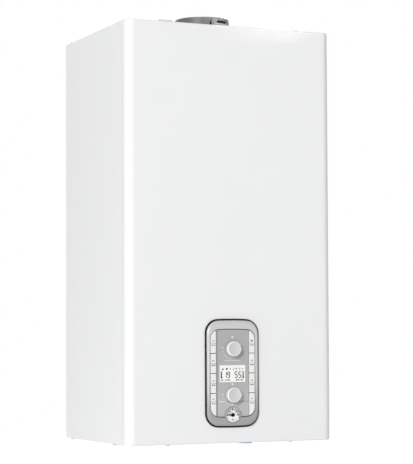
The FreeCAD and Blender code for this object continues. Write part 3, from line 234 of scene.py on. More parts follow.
print_green = material("print_green", (0.12, 0.42, 0.13), 0.5, vary=0.05, grain=3000, bump=0.01)
flue_grey = material("flue_plastic", (0.13, 0.13, 0.135), 0.48, vary=0.05, grain=1500, bump=0.1)
lip_grey = material("sampling_lip_plastic", (0.3, 0.3, 0.3), 0.5, vary=0.03, grain=1500, bump=0.05)
flue_white = material("inner_flue_plastic", (0.62, 0.62, 0.6), 0.45, vary=0.03, grain=1500, bump=0.05)
black_plastic = material("black_plastic", (0.02, 0.02, 0.022), 0.5, vary=0.1, grain=1500, bump=0.1)
cast_metal = material("cast_aluminium", (0.5, 0.5, 0.5), 0.55, metallic=0.9, vary=0.1, grain=350, bump=0.25)
steel = material("bare_steel", (0.5, 0.49, 0.47), 0.35, metallic=1.0, vary=0.08, grain=700, bump=0.04)
brass_colour = (0.66, 0.48, 0.2)
brass = material("brass", brass_colour, 0.3, metallic=1.0, vary=0.06, grain=700, bump=0.05)
copper = material("copper", (0.68, 0.33, 0.2), 0.3, metallic=1.0, vary=0.08, grain=300, bump=0.03)
red_paint = material("red_enamel", (0.5, 0.02, 0.015), 0.35, vary=0.04, grain=600, bump=0.08, coat=0.3)
moulded = material("glass_filled_plastic", (0.045, 0.045, 0.05), 0.55, vary=0.12, grain=1200, bump=0.15)
box_plastic = material("control_box_plastic", (0.09, 0.09, 0.095), 0.5, vary=0.08, grain=1200, bump=0.12)
board = material("circuit_board", (0.03, 0.16, 0.06), 0.4, vary=0.2, grain=400, bump=0.05, coat=0.2)
ceramic = material("ceramic", (0.75, 0.72, 0.66), 0.3, vary=0.03, grain=900, bump=0.03)
foam = material("black_foam", (0.03, 0.03, 0.03), 0.9, vary=0.15, grain=900, bump=0.5)
grey_hose = material("grey_hose", (0.22, 0.22, 0.22), 0.5, vary=0.05, grain=900, bump=0.08)
blue_plastic = material("blue_plastic", (0.03, 0.12, 0.42), 0.4, vary=0.05, grain=1200, bump=0.08)
red_plastic = material("red_plastic", (0.5, 0.02, 0.02), 0.4, vary=0.05, grain=1200, bump=0.08)
moulded_group = below("moulded_group", moulded, brass_colour, base / 1000)
gas_steel = below("gas_pipe_steel", steel, brass_colour, base / 1000)
lens = material("clear_lens", (0.95, 0.96, 0.96), 0.05, vary=0.0, grain=1200, bump=0.005)
shader_of(lens).inputs["Transmission Weight"].default_value = 1.0
shader_of(lens).inputs["IOR"].default_value = 1.05

finishes = {
    "right_side_panel": paint, "left_side_panel": paint, "top_plate": zinc, "bottom_plate": zinc,
    "rear_frame": zinc, "wall_bracket": zinc, "casing_screws": zinc, "chamber_floor": inner_sheet,
    "front_seal": foam, "heat_exchanger": cast_metal, "burner_door": cast_metal, "burner": steel,
    "electrodes": ceramic, "fan_housing": cast_metal, "fan_impeller": black_plastic,
    "fan_motor": black_plastic, "mixing_duct": black_plastic, "gas_mixer": cast_metal,
    "gas_valve": cast_metal, "gas_pipe": gas_steel, "pump_body": moulded_group,
    "pump_motor": black_plastic, "pump_impeller": black_plastic, "flow_manifold": moulded_group,
    "diverter_motor": black_plastic, "diverter_spindle": brass, "plate_heat_exchanger": steel,
    "safety_valve": brass, "safety_valve_knob": red_plastic, "filling_tap": blue_plastic,
    "condensate_trap": moulded, "condensate_hose": grey_hose, "expansion_vessel": red_paint,
    "water_pipes": copper, "rotary_encoders": black_plastic, "control_box": box_plastic,
    "control_box_cover": box_plastic, "main_board": board,
}
for node, finish in finishes.items():
    nodes[node].data.materials.clear()
    nodes[node].data.materials.append(finish)


# Meshes

def piece(name, mesh, finish, body, replaced=()):
    """A finished piece that rides on a CAD body and stands for the CAD nodes it replaces."""
    made = bpy.data.objects.new(name, mesh)
    scene.collection.objects.link(made)
    mesh.materials.clear()
    mesh.materials.append(finish)
    mesh.shade_smooth()
    mesh.set_sharp_from_angle(angle=math.radians(sharp_degrees))
    even = made.modifiers.new("even_shading", "WEIGHTED_NORMAL")
    even.keep_sharp = True
    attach(made, body)
    if replaced:
        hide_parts(*replaced)
    return made


def mesh_from(bm, name):
    mesh = bpy.data.meshes.new(name)
    bmesh.ops.remove_doubles(bm, verts=bm.verts, dist=1e-6)
    bmesh.ops.recalc_face_normals(bm, faces=bm.faces)
    bm.to_mesh(mesh)
    bm.free()
    return mesh


def modified(mesh, steps):
    """The mesh after modifiers, each given as a type and its settings."""
    temporary = bpy.data.objects.new("temporary", mesh)
    scene.collection.objects.link(temporary)
    for kind, settings in steps:
        modifier = temporary.modifiers.new("step", kind)
        for key, value in settings.items():
            setattr(modifier, key, value)
    graph = bpy.context.evaluated_depsgraph_get()
    made = bpy.data.meshes.new_from_object(temporary.evaluated_get(graph))
    bpy.data.objects.remove(temporary)
    return made


def cut(mesh, cutters):
    """The mesh less other meshes."""
    helpers = []
    steps = []
    for cutter in cutters:
        helper = bpy.data.objects.new("cutter", cutter)
        scene.collection.objects.link(helper)
        helpers.append(helper)
        steps.append(("BOOLEAN", {"operation": "DIFFERENCE", "solver": "EXACT", "object": helper}))
    made = modified(mesh, steps)
    for helper in helpers:
        bpy.data.objects.remove(helper)
    return made


def flat(loops, near, far, bevel=0.0, upright=True):
    """A flat piece with bevelled edges. Loops are outlines in x and z, or x and y when it lies flat;
    the first is the outside and the others are holes."""
    curve = bpy.data.curves.new("outline", "CURVE")
    curve.dimensions = "2D"
    curve.fill_mode = "BOTH"
    curve.extrude = abs(far - near) / 2 - bevel
    curve.bevel_depth = bevel
    curve.bevel_resolution = 2
    curve.offset = -bevel
    for k, loop in enumerate(loops):
        loop = loop if k == 0 else loop[::-1]
        spline = curve.splines.new("POLY")
        spline.points.add(len(loop) - 1)
        spline.use_cyclic_u = True
        for place, (a, b) in zip(spline.points, loop):
            place.co = (a, b, 0, 1)
    temporary = bpy.data.objects.new("outline", curve)
    scene.collection.objects.link(temporary)
    graph = bpy.context.evaluated_depsgraph_get()
    mesh = bpy.data.meshes.new_from_object(temporary.evaluated_get(graph))
    bpy.data.objects.remove(temporary)
    bm = bmesh.new()
    bm.from_mesh(mesh)
    middle = (near + far) / 2
    for vert in bm.verts:
        x, y, z = vert.co
        vert.co = point(x, middle - z, y) if upright else point(x, y, middle + z)
    return mesh_from(bm, "flat")


def joined(meshes):
    bm = bmesh.new()
    for mesh in meshes:
        bm.from_mesh(mesh)
    return mesh_from(bm, "joined")


def arc(cx, cy, radius, start, stop, steps):
    points = []
    for k in range(steps + 1):
        turn = math.radians(start + (stop - start) * k / steps)
        points.append((cx + radius * math.cos(turn), cy + radius * math.sin(turn)))
    return points


def circle(cx, cy, radius, steps=64):
    return arc(cx, cy, radius, 0, 360, steps)[:-1]


def rectangle(x0, x1, z0, z1):
    return [(x0, z0), (x1, z0), (x1, z1), (x0, z1)]


def arched(width, low, high, corner, shift=0.0):
    """The control panel's outline: rounded corners, with the top and bottom bowed outward."""
    runs = 16
    steps = 12
    side = width / 2
    low, high = low + arch, high - arch
    corners = ((side - corner, low + corner, -90), (side - corner, high - corner, 0),
               (corner - side, high - corner, 90), (corner - side, low + corner, 180))
    arcs = [arc(cx, cz, corner, start, start + 90, steps) for cx, cz, start in corners]
    points = []
    for k, bend in enumerate(arcs):
        points += bend
        ahead = arcs[(k + 1) % 4][0]
        for j in range(1, runs):
            t = j / runs
            points.append((bend[-1][0] * (1 - t) + ahead[0] * t, bend[-1][1] * (1 - t) + ahead[1] * t))
    middle = (low + high) / 2
    bowed = []
    for x, z in points:
        bow = arch * (1 - (x / side) ** 2)
        bowed.append((x + fascia_x + shift, z + (bow if z > middle else -bow)))
    return bowed


def kept(loop, axis, limit, sign):
    """The part of an outline on one side of a line across x (axis 0) or z (axis 1)."""
    points = []
    for a, b in zip(loop, loop[1:] + loop[:1]):
        inside_a = sign * (a[axis] - limit) >= 0
        inside_b = sign * (b[axis] - limit) >= 0
        if inside_a:
            points.append(a)
        if inside_a != inside_b:
            t = (limit - a[axis]) / (b[axis] - a[axis])
            points.append((a[0] + (b[0] - a[0]) * t, a[1] + (b[1] - a[1]) * t))
    return points


def between(loop, axis, low, high):
    """The part of an outline between two such lines."""
    return kept(kept(loop, axis, low, 1), axis, high, -1)


def printed(outlines, face, out, into):
    """Thin marks that stand a little out of a face, one for each outline."""
    return joined([flat([outline], face - out, face + into) for outline in outlines])


def lathe(profile, origin, axis, steps=96, closed=False):
    """A turned form: profile holds (radius, distance along the axis), and origin is a CAD place."""
    turn = Vector(axis).to_track_quat("Z", "Y")
    bm = bmesh.new()
    rings = []
    for radius, along in profile:
        ring = []
        for k in range(steps if radius > 0 else 1):
            angle = 2 * math.pi * k / steps
            offset = turn @ Vector((radius * math.cos(angle), radius * math.sin(angle), along))
            ring.append(bm.verts.new(point(*(Vector(origin) + offset))))
        rings.append(ring)
    pairs = list(zip(rings, rings[1:]))
    if closed:
        pairs.append((rings[-1], rings[0]))
    for a, b in pairs:
        for k in range(steps):
            ahead = (k + 1) % steps
            corners = [a[k % len(a)], a[ahead % len(a)], b[ahead % len(b)], b[k % len(b)]]
            corners = list(dict.fromkeys(corners))
            if len(corners) > 2:
                bm.faces.new(corners)
    return mesh_from(bm, "lathe")


def ring_loft(outer, inner, levels):
    """A band between two outlines with the same number of points; levels hold (share across, y)."""
    bm = bmesh.new()
    rows = []
    for share, y in levels:
        row = []
        for (x0, z0), (x1, z1) in zip(outer, inner):
            row.append(bm.verts.new(point(x0 + (x1 - x0) * share, y, z0 + (z1 - z0) * share)))
        rows.append(row)
    for a, b in zip(rows, rows[1:] + rows[:1]):
        for k in range(len(a)):
            ahead = (k + 1) % len(a)
            bm.faces.new((a[k], a[ahead], b[ahead], b[k]))
    return mesh_from(bm, "band")


def sector(inner_r, outer_r, low, high, start, stop, lean=0.0):
    """A curved block on the collar, in degrees from the front towards the right; its ends may lean."""
    steps = 24
    section = ((inner_r, low, 0), (outer_r, low, 0), (outer_r, high, lean), (inner_r, high, lean))
    bm = bmesh.new()
    slices = []
    for k in range(steps + 1):
        corners = []
        for radius, z, shift in section:
            turn = math.radians(start + shift + (stop - start) * k / steps)
            corners.append(bm.verts.new(point(radius * math.sin(turn), flue_y - radius * math.cos(turn), z)))
        slices.append(corners)
    for a, b in zip(slices, slices[1:]):
        for k in range(4):
            bm.faces.new((a[k], a[(k + 1) % 4], b[(k + 1) % 4], b[k]))
    bm.faces.new(slices[0])
    bm.faces.new(slices[-1][::-1])
    return mesh_from(bm, "sector")


# Casing

def panel_path(inset, corner):
    """Plan of the front panel drawn in by inset, from its left rear edge round to its right one."""
    steps = 12
    side = half - inset
    face = front + inset
    radius = corner - inset
    left = arc(-half + corner, front + corner, radius, 180, 270, steps)
    right = arc(half - corner, front + corner, radius, 270, 360, steps)
    return [(-side, panel_rear)] + left + right + [(side, panel_rear)]


def front_panel():
    """Folded sheet: rounded upright corners and bends along the top and bottom, with its openings."""
    corner = 16.0
    bend, bend_steps = 3.0, 6
    tab_x, tab_half = 120, 13.8
    tab_front, tab_rear = -307.2, -303.9
    levels = []
    for k in range(bend_steps + 1):
        turn = math.radians(90 * k / bend_steps)
        levels.append((bend * (1 - math.sin(turn)), bend * (1 - math.cos(turn))))
    levels += [(inset, casing_height - z) for inset, z in levels[::-1]]
    bm = bmesh.new()
    rows = []
    for inset, z in levels:
        rows.append([bm.verts.new(point(x, y, z)) for x, y in panel_path(inset, corner)])
    for a, b in zip(rows, rows[1:]):
        for k in range(len(a) - 1):
            bm.faces.new((a[k], a[k + 1], b[k + 1], b[k]))
    bm.faces.new(rows[0])
    bm.faces.new(rows[-1][::-1])
    skin = mesh_from(bm, "panel")
    thick = modified(skin, [("SOLIDIFY", {"thickness": 0.001, "offset": -1.0, "use_even_offset": True})])
    opening = flat([arched(103.8, 27.6, 220.4, 23.4)], front - 4, front + 4)
    cutters = [opening]
    for x in (-tab_x, tab_x):
        slot = rectangle(x - tab_half, x + tab_half, casing_height - bend, casing_height + bend)
        cutters.append(flat([slot], tab_front, tab_rear))
    panel = cut(thick, cutters)
    piece("front_panel_skin", panel, paint, "front_panel_body", ["front_panel"])


front_panel()


# Flue collar

def flue_collar():
    """Collar on its square flange, with the housing of the sampling points and the clamp's slit."""
    top = flue_top
    edge = top - 1.2
    profile = [(collar_r, flange_top - 1), (collar_r, edge), (49.6, top - 0.4), (48.8, top), (48, top),
               (47.3, top - 0.4), (collar_bore_r, edge), (collar_bore_r, flange_low), (collar_r, flange_low)]
    ring = lathe(profile, (0, flue_y, 0), (0, 0, 1), 160, closed=True)
    corner = 12.0
    straight = 65.0 - corner
    plate = []
    for x, y, start in ((1, 1, 0), (-1, 1, 90), (-1, -1, 180), (1, -1, 270)):
        plate += arc(x * straight, flue_y + y * straight, corner, start, start + 90, 8)
    hole = circle(0, flue_y, collar_bore_r, 96)
    flange = flat([plate, hole], flange_low, flange_top, 0.5, upright=False)
    housing = sector(49.2, 52.5, flange_top, edge, -3, 44)
    recess = sector(50.4, 54, top - 10.5, top - 5, 7, 33, lean=3.0)
    slit = sector(49.4, 54, top - 26, top - 6.2, -9.6, -5.4, lean=4.5)
    body = [cut(housing, [recess]), cut(ring, [slit]), flange]
    piece("flue_collar_moulding", joined(body), flue_grey, "boiler", ["flue_collar"])
    # Painted shade: a black block at the back of the sampling recess stands in for the shade in it.
    recess_shade = sector(50.05, 51.8, top - 10.4, top - 5.1, 7.2, 32.9, lean=3.0)
    piece("sampling_recess_shade", recess_shade, painted_shade_finish, "boiler")
    lip = sector(52.3, 52.9, top - 12.6, top - 10.8, 4, 40)
    piece("sampling_lip", lip, lip_grey, "boiler")
    # Painted shadow: a black block inside the clamp's slit stands in for the shade in it.
    shadow = sector(49.0, 50.05, top - 25.8, top - 6.4, -9.8, -5.2, lean=4.5)
    piece("clamp_slit_shadow", shadow, painted_shade_finish, "boiler")


def sampling_caps():
    caps = []
    for degrees, radius in ((15.0, 3.0), (27.0, 2.0)):
        turn = math.radians(degrees)
        place = (collar_r * math.sin(turn), flue_y - collar_r * math.cos(turn), flue_top - 1.4)
        profile = [(0, 1.35), (radius - 0.5, 1.35), (radius, 0.9), (radius, 0)]
        caps.append(lathe(profile, place, (0, 0, 1), 32))
    piece("sampling_caps", joined(caps), black_rim, "boiler", ["sampling_plugs"])


def inner_flue():
    low, edge, top = 700.4, 739.0, 739.6
    profile = [(duct_r, low), (duct_r, edge), (31.1, top), (30.4, top), (duct_bore_r, edge),
               (duct_bore_r, low)]
    duct = lathe(profile, (0, flue_y, 0), (0, 0, 1), 128, closed=True)
    piece("inner_flue", duct, flue_white, "boiler", ["flue_duct"])


def flange_screws():
    reach = 56.0
    profile = [(0, 1.6), (2.2, 1.6), (3.2, 1.2), (3.8, 0.3), (3.8, -0.3)]
    heads = []
    for x in (-reach, reach):
        for y in (-reach, reach):
            heads.append(lathe(profile, (x, flue_y + y, flange_top), (0, 0, 1), 24))
    piece("flange_screws", joined(heads), steel, "boiler")


flue_collar()
sampling_caps()
inner_flue()
flange_screws()


# Control panel

def field_outline():
    """The outer edge of the grey field and of both columns of keys."""
    return arched(85.6, 46.7, 201.2, 14.8)


def control_face():
    """Black rim, silver bezel, and the grey field in two plates over a floor painted near black as shade."""
    plate_bevel = 0.25
    outer = arched(103.0, 28.0, 220.0, 23.0)
    rim_inner = arched(100.0, 30.4, 217.6, 21.3, shift=0.25)
    rim_levels = [(0, inner_face), (0, -321.2), (0.15, -321.8), (0.4, -322.0), (1, -322.0), (1, inner_face)]
    rim = ring_loft(outer, rim_inner, rim_levels)
    piece("fascia_rim_black", rim, black_rim, "control_body", ["fascia_rim"])
    bezel_inner = arched(88.0, 45.5, 202.4, 16.0)
    bezel_levels = [(0, inner_face), (0, -321.4), (0.08, -322.4), (0.2, -323.5), (0.32, -324.3),
                    (0.46, -324.8), (0.62, -325.0), (0.94, -325.0), (0.985, -324.8), (1, -324.4),
                    (1, inner_face)]
    band = ring_loft(rim_inner, bezel_inner, bezel_levels)
    notch_r = gauge_r + 0.3
    profile = [(0, -30), (notch_r, -30), (notch_r, 0), (0, 0)]
    notch = lathe(profile, (fascia_x, -300, gauge_z), (0, 1, 0), 96)
    bezel = cut(band, [notch])
    piece("fascia_bezel_silver", bezel, silver, "control_body", ["fascia_bezel"])
    # Painted shade: the floor shows through the gaps as their shadow.
    floor = flat([arched(87.6, 45.7, 202.2, 15.8)], -321.0, -319.5)
    piece("field_floor", floor, groove_shade_finish, "control_body")
    strip = between(field_outline(), 0, fascia_x - centre_half, fascia_x + centre_half)
    window = rectangle(fascia_x - lcd_half, fascia_x + lcd_half, lcd_low, lcd_high)
    upper = flat([kept(strip, 1, split_z + split_half, 1), window], centre_front, centre_back, plate_bevel)
    piece("centre_plate", upper, field_grey, "control_body", ["centre_panel"])
    lower = flat([kept(strip, 1, split_z - split_half, -1)], centre_front, centre_back, plate_bevel)
    piece("lower_plate", cut(lower, [notch]), field_grey, "control_body", ["lower_insert"])


def keys():
    """Eight keys in two columns, numbered from the bottom, each with a line across its face."""
    key_rear, key_bevel = -308.0, 0.35
    side_gap, half_gap, column_x = 0.9, 0.6, 37.6
    line_reach, line_half = 5.2, 0.3
    edges = (0,) + key_gaps + (casing_height,)
    for side, word in ((-1, "left"), (1, "right")):
        column = kept(field_outline(), 0, fascia_x + side * (centre_half + side_gap), side)
        middle = fascia_x + side * column_x
        for row in range(4):
            key = between(column, 1, edges[row] + half_gap, edges[row + 1] - half_gap)
            name = "button_%s_%d" % (word, row + 1)
            mesh = flat([key], key_front, key_rear, key_bevel)
            piece(name + "_key", mesh, key_white, name + "_body", [name])
            z = key_lines[row]
            bar = rectangle(middle - line_reach, middle + line_reach, z - line_half, z + line_half)
            line = printed([bar], key_front, key_print_out, key_print_in)
            piece(name + "_line", line, print_grey, name + "_body")
            symbol(name, row, middle, side)


def symbol(name, row, x, side):
    """The key's plain pictogram above its line and two small marks below it."""
    z = key_lines[row] + 4.4
    front_y, back_y = key_front - key_print_out, key_front + key_print_in
    ink = print_dark
    if (side, row) == (-1, 3):
        ring = arc(x, z, 2.2, 125, 415, 24) + arc(x, z, 1.5, 415, 125, 24)
        loops = [[ring], [rectangle(x - 0.35, x + 0.35, z + 0.4, z + 2.5)]]
        ink = print_green
    elif (side, row) == (1, 3):
        house = [(-1.6, -1.6), (1.6, -1.6), (1.6, 0.5), (0, 2.2), (-1.6, 0.5)]
        loops = [[[(x + a, z + b) for a, b in house]]]
    elif row == 2:
        loops = [[rectangle(x - 2 + 1.5 * k, x - 1.3 + 1.5 * k, z - 1.5, z + 1.5)] for k in range(3)]
    elif row == 1:
        loops = [[circle(x, z, 1.5, 24), circle(x, z, 0.9, 24)]]
    else:
        level = rectangle(x - 1.8, x + 1.8, z - 0.3, z + 0.3)
        upright = rectangle(x - 0.3, x + 0.3, z - 1.6, z + 1.6)
        loops = [[level], [upright]]
    symbol_mesh = joined([flat(group, front_y, back_y) for group in loops])
    piece(name + "_symbol", symbol_mesh, ink, name + "_body")
    low = key_lines[row] - 4.2
    blocks = [rectangle(x - 3.3, x - 0.6, low, low + 2.0), rectangle(x + 0.6, x + 3.3, low, low + 2.0)]
    marks = printed(blocks, key_front, key_print_out, key_print_in)
    mark_ink = print_dark if row in (1, 2) else print_grey
    piece(name + "_marks", marks, mark_ink, name + "_body")


control_face()
keys()


def knobs():
    """Two knobs with dished grey faces and bevels painted near white as a highlight, each with its pointer
    and printed scale.
    """
    base_y = field_front - 0.3
    depth = 9.2
    face_r, bevel_depth = 11.6, 2.3
    scale_r, scale_inner_r = 18.4, 17.9
    profile = [(0, depth - 2.0), (4, depth - 1.85), (7, depth - 1.5), (9.5, depth - 0.95), (11, depth - 0.45),
               (11.8, depth - 0.05), (12.2, depth - 0.1), (12.7, depth - 0.6), (13.1, depth - 1.4),
               (13.3, depth - 2.2), (13.4, 3), (knob_r, 0.6), (13.4, 0.1), (3.05, 0.1)]
    for height, name in zip(knob_heights, ("knob_heating", "knob_hot_water")):
        cap = lathe(profile, (fascia_x, base_y, height), (0, -1, 0), 128)
        made = piece(name + "_cap", cap, knob_highlight_finish, name + "_body", [name])
        made.data.materials.append(knob_grey)
        # The bevel keeps the near-white finish of the painted highlight; face and side take the plain grey.
        for face in made.data.polygons:
            along = base_y - face.center.y * 1000
            reach = math.hypot(face.center.x * 1000 - fascia_x, face.center.z * 1000 - base - height)
            if reach < face_r or along < depth - bevel_depth:
                face.material_index = 1
        tip = [(knob_r - 1.2, -3.2), (knob_r + 3.4, -0.4), (knob_r + 3.4, 0.4), (knob_r - 1.2, 3.2)]
        tip = [(fascia_x + x, height + z) for x, z in tip]
        pointer = flat([tip], base_y - 5.0, base_y - 0.1, 0.4)
        piece(name + "_pointer", pointer, knob_highlight_finish, name + "_body")
        scale = []
        for start, stop in ((188, 212), (216, 240), (244, 262)):
            outside = arc(fascia_x, height, scale_r, start, stop, 10)
            inside = arc(fascia_x, height, scale_inner_r, stop, start, 10)
            scale.append(outside + inside)
        marks = printed(scale, centre_front, field_print_out, field_print_in)
        piece(name + "_scale", marks, print_light, "control_body")


knobs()


def field_marks():
    """Light printed dots and dashes by the knobs and over the display, and a band of painted shadow by the
    left keys.
    """
    line_half = 0.6
    dash_left, dash_pitch, dash_long = -15.8, 3.6, 2.4
    left = fascia_x - centre_half
    marks = []
    for x, z, radius, steps in ((0, 187.7, 1.9, 24), (-19, 169.5, 1.2, 20), (0, 104.2, 1.9, 24),
                                (0, 67.3, 1.2, 20), (-19, 86, 1.2, 20)):
        marks.append(circle(fascia_x + x, z, radius, steps))
    for k in range(9):
        x = fascia_x + dash_left + dash_pitch * k
        marks.append(rectangle(x, x + dash_long, 145.6, 146.6))
    marks.append(rectangle(left + 3.2, fascia_x - 12, split_z - line_half, split_z + line_half))
    light = printed(marks, centre_front, field_print_out, field_print_in)
    piece("field_marks", light, print_light, "control_body")
    # Painted shadow: a darker band along the left keys' edge of the centre plate.
    band = between(field_outline(), 0, left + 0.3, left + 3.0)
    halves = [kept(band, 1, split_z + line_half, 1), kept(band, 1, split_z - line_half, -1)]
    dark = printed(halves, centre_front, field_print_out, field_print_in)
    piece("key_shadow_band", dark, key_shadow_grey, "control_body")


field_marks()


def segment(start, end, stroke):
    """One bar of a figure: a strip with pointed ends between two places."""
    gap, side = 0.18, stroke / 2
    x, z = start
    length = math.dist(start, end)
    ax, az = (end[0] - x) / length, (end[1] - z) / length
    outline = [(gap, 0), (gap + side, -side), (length - gap - side, -side), (length - gap, 0),
               (length - gap - side, side), (gap + side, side)]
    return [(x + ax * along - az * across, z + az * along + ax * across) for along, across in outline]


def digit(lit, x, z, width, stroke):
    """Seven-segment figure with its lower left corner at x, z; lit names its segments a to g."""
    lean = 0.6
    height = 10.2
    middle = height / 2
    bars = {"a": ((0, height), (width, height)), "b": ((width, middle), (width, height)),
            "c": ((width, 0), (width, middle)), "d": ((0, 0), (width, 0)), "e": ((0, 0), (0, middle)),
            "f": ((0, middle), (0, height)), "g": ((0, middle), (width, middle))}
    loops = []
    for key in lit:
        loops.append([(x + a + lean * b / height, z + b) for a, b in segment(*bars[key], stroke)])
    return loops


def display():
    """Glass with two numbers, a bar at each side, icons above them and marks along its foot."""
    figures = (("bc", -16.2, 4.3, 1.7), ("abcdfg", -9.9, 4.4, 1.7), ("afgcd", 4.6, 4.6, 1.8),
               ("afgcd", 11.9, 4.6, 1.8))
    y = centre_front + 0.6
    glass = flat([rectangle(fascia_x - lcd_half, fascia_x + lcd_half, lcd_low, lcd_high)], y, -319.0, 0.1)
    piece("display_glass", glass, lcd_face, "control_body", ["display"])
    middle = (lcd_low + lcd_high) / 2
    loops = []
    for lit, x, width, stroke in figures:
        loops += digit(lit, fascia_x + x, middle - 7.2, width, stroke)
    for x in (-21.2, 21.0):
        loops.append(rectangle(fascia_x + x - 1.1, fascia_x + x + 1.1, middle - 6.4, middle + 4.4))
        loops.append(circle(fascia_x + x, middle - 6.6, 1.8, 20))
    icons = middle + 8.4
    shapes = [[(-20.8, -1.9), (-16.4, -1.9), (-18.6, 2.0)],
              circle(-10.9, 0, 2.0, 8),
              rectangle(-4.9, -3.7, -1.9, 1.9),
              [(0.8, -2.0), (2.0, -2.0), (4.6, 2.0), (3.4, 2.0)],
              [(6.2, 1.9), (8.2, -2.0), (10.2, 1.9), (9.1, 1.9), (8.2, 0), (7.3, 1.9)],
              rectangle(13.5, 14.7, -2.0, 1.8),
              rectangle(18.2, 20.8, -0.5, 0.6)]
    loops += [[(fascia_x + x, icons + z) for x, z in shape] for shape in shapes]
    foot = middle - 11.2
    for x0, x1 in ((-22, -18), (-14, -12), (-11.4, -8.8), (-8.2, -4.4), (7, 9.6), (10.2, 13.6), (16, 20.4)):
        loops.append(rectangle(fascia_x + x0, fascia_x + x1, foot - 0.9, foot + 0.9))
    ink = printed(loops, y, fine_print_out, fine_print_in)
    piece("display_figures", ink, lcd_ink, "control_body")


display()


def gauge_ticks():
    """Nine ticks over the upper half of the dial, long and short by turns."""
    ticks = []
    for k in range(9):
        turn = math.radians(180 * k / 8)
        near, far, side = (8.0, 12.4, 0.9) if k % 2 == 0 else (9.2, 12.0, 0.6)
        ax, az = math.cos(turn), math.sin(turn)
        ends = ((near, -side), (far, -side), (far, side), (near, side))
        tick = [(ax * reach - az * across, az * reach + ax * across) for reach, across in ends]
        ticks.append([(fascia_x + x, gauge_z + z) for x, z in tick])
    return ticks


def gauge():
    """Round pressure gauge: ring, dial in two tones, ticks, hand and glass."""
    face = -326.4
    dial_r = 13.05
    profile = [(gauge_r, 306.4), (gauge_r, 325.8), (14.2, 326.25), (13.8, 326.4), (13.4, 326.3),
               (13.1, 325.9), (13.1, 322.8), (0, 322.8)]
    ring = lathe(profile, (fascia_x, 0, gauge_z), (0, -1, 0), 128)
    piece("gauge_ring", ring, dial_grey, "control_body", ["gauge_case"])
    dial_y, dial_thick = face + 3.58, 0.3
    lower = arc(fascia_x, gauge_z, dial_r, 180, 360, 48)
    light = flat([lower], dial_y, dial_y + dial_thick)
    piece("gauge_dial_light", light, dial_white, "control_body")
    upper = arc(fascia_x, gauge_z, dial_r, 0, 180, 48)
    dark = flat([upper], dial_y, dial_y + dial_thick)
    piece("gauge_dial_dark", dark, dial_upper, "control_body")
    ticks = gauge_ticks() + [rectangle(fascia_x - 1.8, fascia_x + 1.8, gauge_z - 8.6, gauge_z - 7.4)]
    marks = printed(ticks, dial_y, fine_print_out, fine_print_in)
    piece("gauge_ticks", marks, print_dark, "control_body")
    needle_front = dial_y - 0.9
    needle_back = needle_front + 0.5
    shape = [(-10.4, 0.8), (-10.4, -0.8), (-1, -1.4), (4.4, -1.2), (4.4, 1.2), (-1, 1.4)]
    hand = flat([[(fascia_x + x, gauge_z + z) for x, z in shape]], needle_front, needle_back, 0.1)
    profile = [(0, 1.3), (2.6, 1.2), (3.3, 0.7), (3.4, 0)]
    hub = lathe(profile, (fascia_x, needle_back, gauge_z), (0, -1, 0), 40)
    piece("gauge_hand", joined([hand, hub]), black_rim, "gauge_needle_body", ["gauge_needle"])
    glass = lathe([(0, 0.7), (9, 0.6), (12.2, 0.3), (dial_r, 0), (dial_r, -0.6), (0, -0.3)],
                  (fascia_x, -325.6, gauge_z), (0, -1, 0), 96)
    piece("gauge_glass", glass, lens, "control_body", ["gauge_lens"])


gauge()


# Studio

def studio():
    """Pale floor below the hanging boiler, under a white world."""
    floor_drop = 0.6
    floor = bpy.data.meshes.new("studio_floor")
    bm = bmesh.new()
    bmesh.ops.create_grid(bm, x_segments=2, y_segments=2, size=12)
    bm.to_mesh(floor)
    bm.free()
    ground = bpy.data.objects.new("studio_floor", floor)
    ground.location = (0, 0, base / 1000 - floor_drop)
    scene.collection.objects.link(ground)
    floor.materials.append(pale_floor())
    world = bpy.data.worlds.new("studio")
    world.use_nodes = True
    tree = world.node_tree
    tree.nodes.clear()
    output = tree.nodes.new("ShaderNodeOutputWorld")
    mix = tree.nodes.new("ShaderNodeMixShader")
    lit = tree.nodes.new("ShaderNodeBackground")
    lit.inputs["Color"].default_value = (1, 1, 1, 1)
    lit.inputs["Strength"].default_value = 0.26
    seen = tree.nodes.new("ShaderNodeBackground")
    seen.inputs["Color"].default_value = (1, 1, 1, 1)
    tree.links.new(seen_rays(tree), mix.inputs["Fac"])
    tree.links.new(lit.outputs["Background"], mix.inputs[1])
    tree.links.new(seen.outputs["Background"], mix.inputs[2])
    tree.links.new(mix.outputs["Shader"], output.inputs["Surface"])
    scene.world = world


def seen_rays(tree):
    """1 for rays that show the background itself, directly or in metal or glass."""
    path = tree.nodes.new("ShaderNodeLightPath")
    first = tree.nodes.new("ShaderNodeMath")
    first.operation = "MAXIMUM"
    second = tree.nodes.new("ShaderNodeMath")
    second.operation = "MAXIMUM"
    tree.links.new(path.outputs["Is Camera Ray"], first.inputs[0])
    tree.links.new(path.outputs["Is Glossy Ray"], first.inputs[1])
    tree.links.new(first.outputs["Value"], second.inputs[0])
    tree.links.new(path.outputs["Is Transmission Ray"], second.inputs[1])
    return second.outputs["Value"]


def pale_floor():
    made = bpy.data.materials.new("pale_floor")
    made.use_nodes = True
    shader = shader_of(made)
    shader.inputs["Base Color"].default_value = (0.97, 0.97, 0.97, 1)
    shader.inputs["Roughness"].default_value = 0.9
    tree = made.node_tree
    glow = tree.nodes.new("ShaderNodeMath")
    glow.operation = "MULTIPLY"
    glow.inputs[1].default_value = 0.8
    tree.links.new(seen_rays(tree), glow.inputs[0])
    tree.links.new(glow.outputs["Value"], shader.inputs["Emission Strength"])
    shader.inputs["Emission Color"].default_value = (1, 1, 1, 1)
    return made


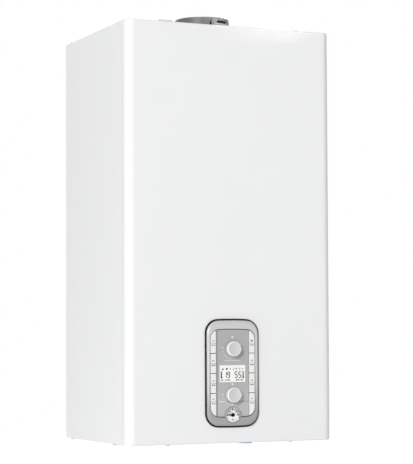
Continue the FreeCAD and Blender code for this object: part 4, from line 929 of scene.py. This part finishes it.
def lamp(name, place, target, size, power, spread=180):
    """A soft lamp, in metres and watts, that faces a target; spread narrows its beam."""
    data = bpy.data.lights.new(name, "AREA")
    data.shape = "RECTANGLE"
    data.size, data.size_y = size
    data.energy = power
    data.spread = math.radians(spread)
    made = bpy.data.objects.new(name, data)
    made.location = place
    made.rotation_euler = (Vector(target) - Vector(place)).to_track_quat("-Z", "Y").to_euler()
    scene.collection.objects.link(made)


def camera():
    """The photograph's viewpoint, fitted to the casing's edges."""
    width, height = 413, 464
    focal_px, centre_px = 1789.46, (250, 255)
    yaw, pitch, roll = 0.4362, 0.0460, -0.0053
    forward = Vector((math.sin(yaw) * math.cos(pitch), math.cos(yaw) * math.cos(pitch), math.sin(pitch)))
    right = Vector((math.cos(yaw), -math.sin(yaw), 0))
    up = right.cross(forward)
    right, up = (right * math.cos(roll) + up * math.sin(roll), up * math.cos(roll) - right * math.sin(roll))
    data = bpy.data.cameras.new("photo_camera")
    data.sensor_width = 36
    data.lens = focal_px / height * data.sensor_width
    data.shift_x = (width / 2 - centre_px[0]) / height
    data.shift_y = (centre_px[1] - height / 2) / height
    data.clip_end = 100
    made = bpy.data.objects.new("photo_camera", data)
    turn = Matrix((right, up, -forward)).transposed().to_4x4()
    viewpoint = point(-1315.589, -3218.728, 187.049)
    made.matrix_world = Matrix.Translation(viewpoint) @ turn
    scene.collection.objects.link(made)
    scene.camera = made


studio()
camera()
lamp("key_light", (-4.0, -4.2, 1.4), (0, -0.3, -0.5), (0.8, 0.8), 210)
lamp("side_light", (-0.9, -0.45, -1.2), (-0.2, -0.25, -0.65), (0.3, 0.3), 1.3)
lamp("fill_light", (1.6, -2.0, -0.2), (0, -0.2, -0.3), (1.4, 1.4), 6.5)
lamp("collar_light", (0.75, -1.1, 0.45), (0.03, -0.2, 0.115), (0.1, 0.1), 0.12, spread=9)
lamp("top_light", (0.0, -0.6, 2.6), (0, -0.2, -0.3), (2.5, 2.5), 10)
scene.view_settings.view_transform = "Standard"
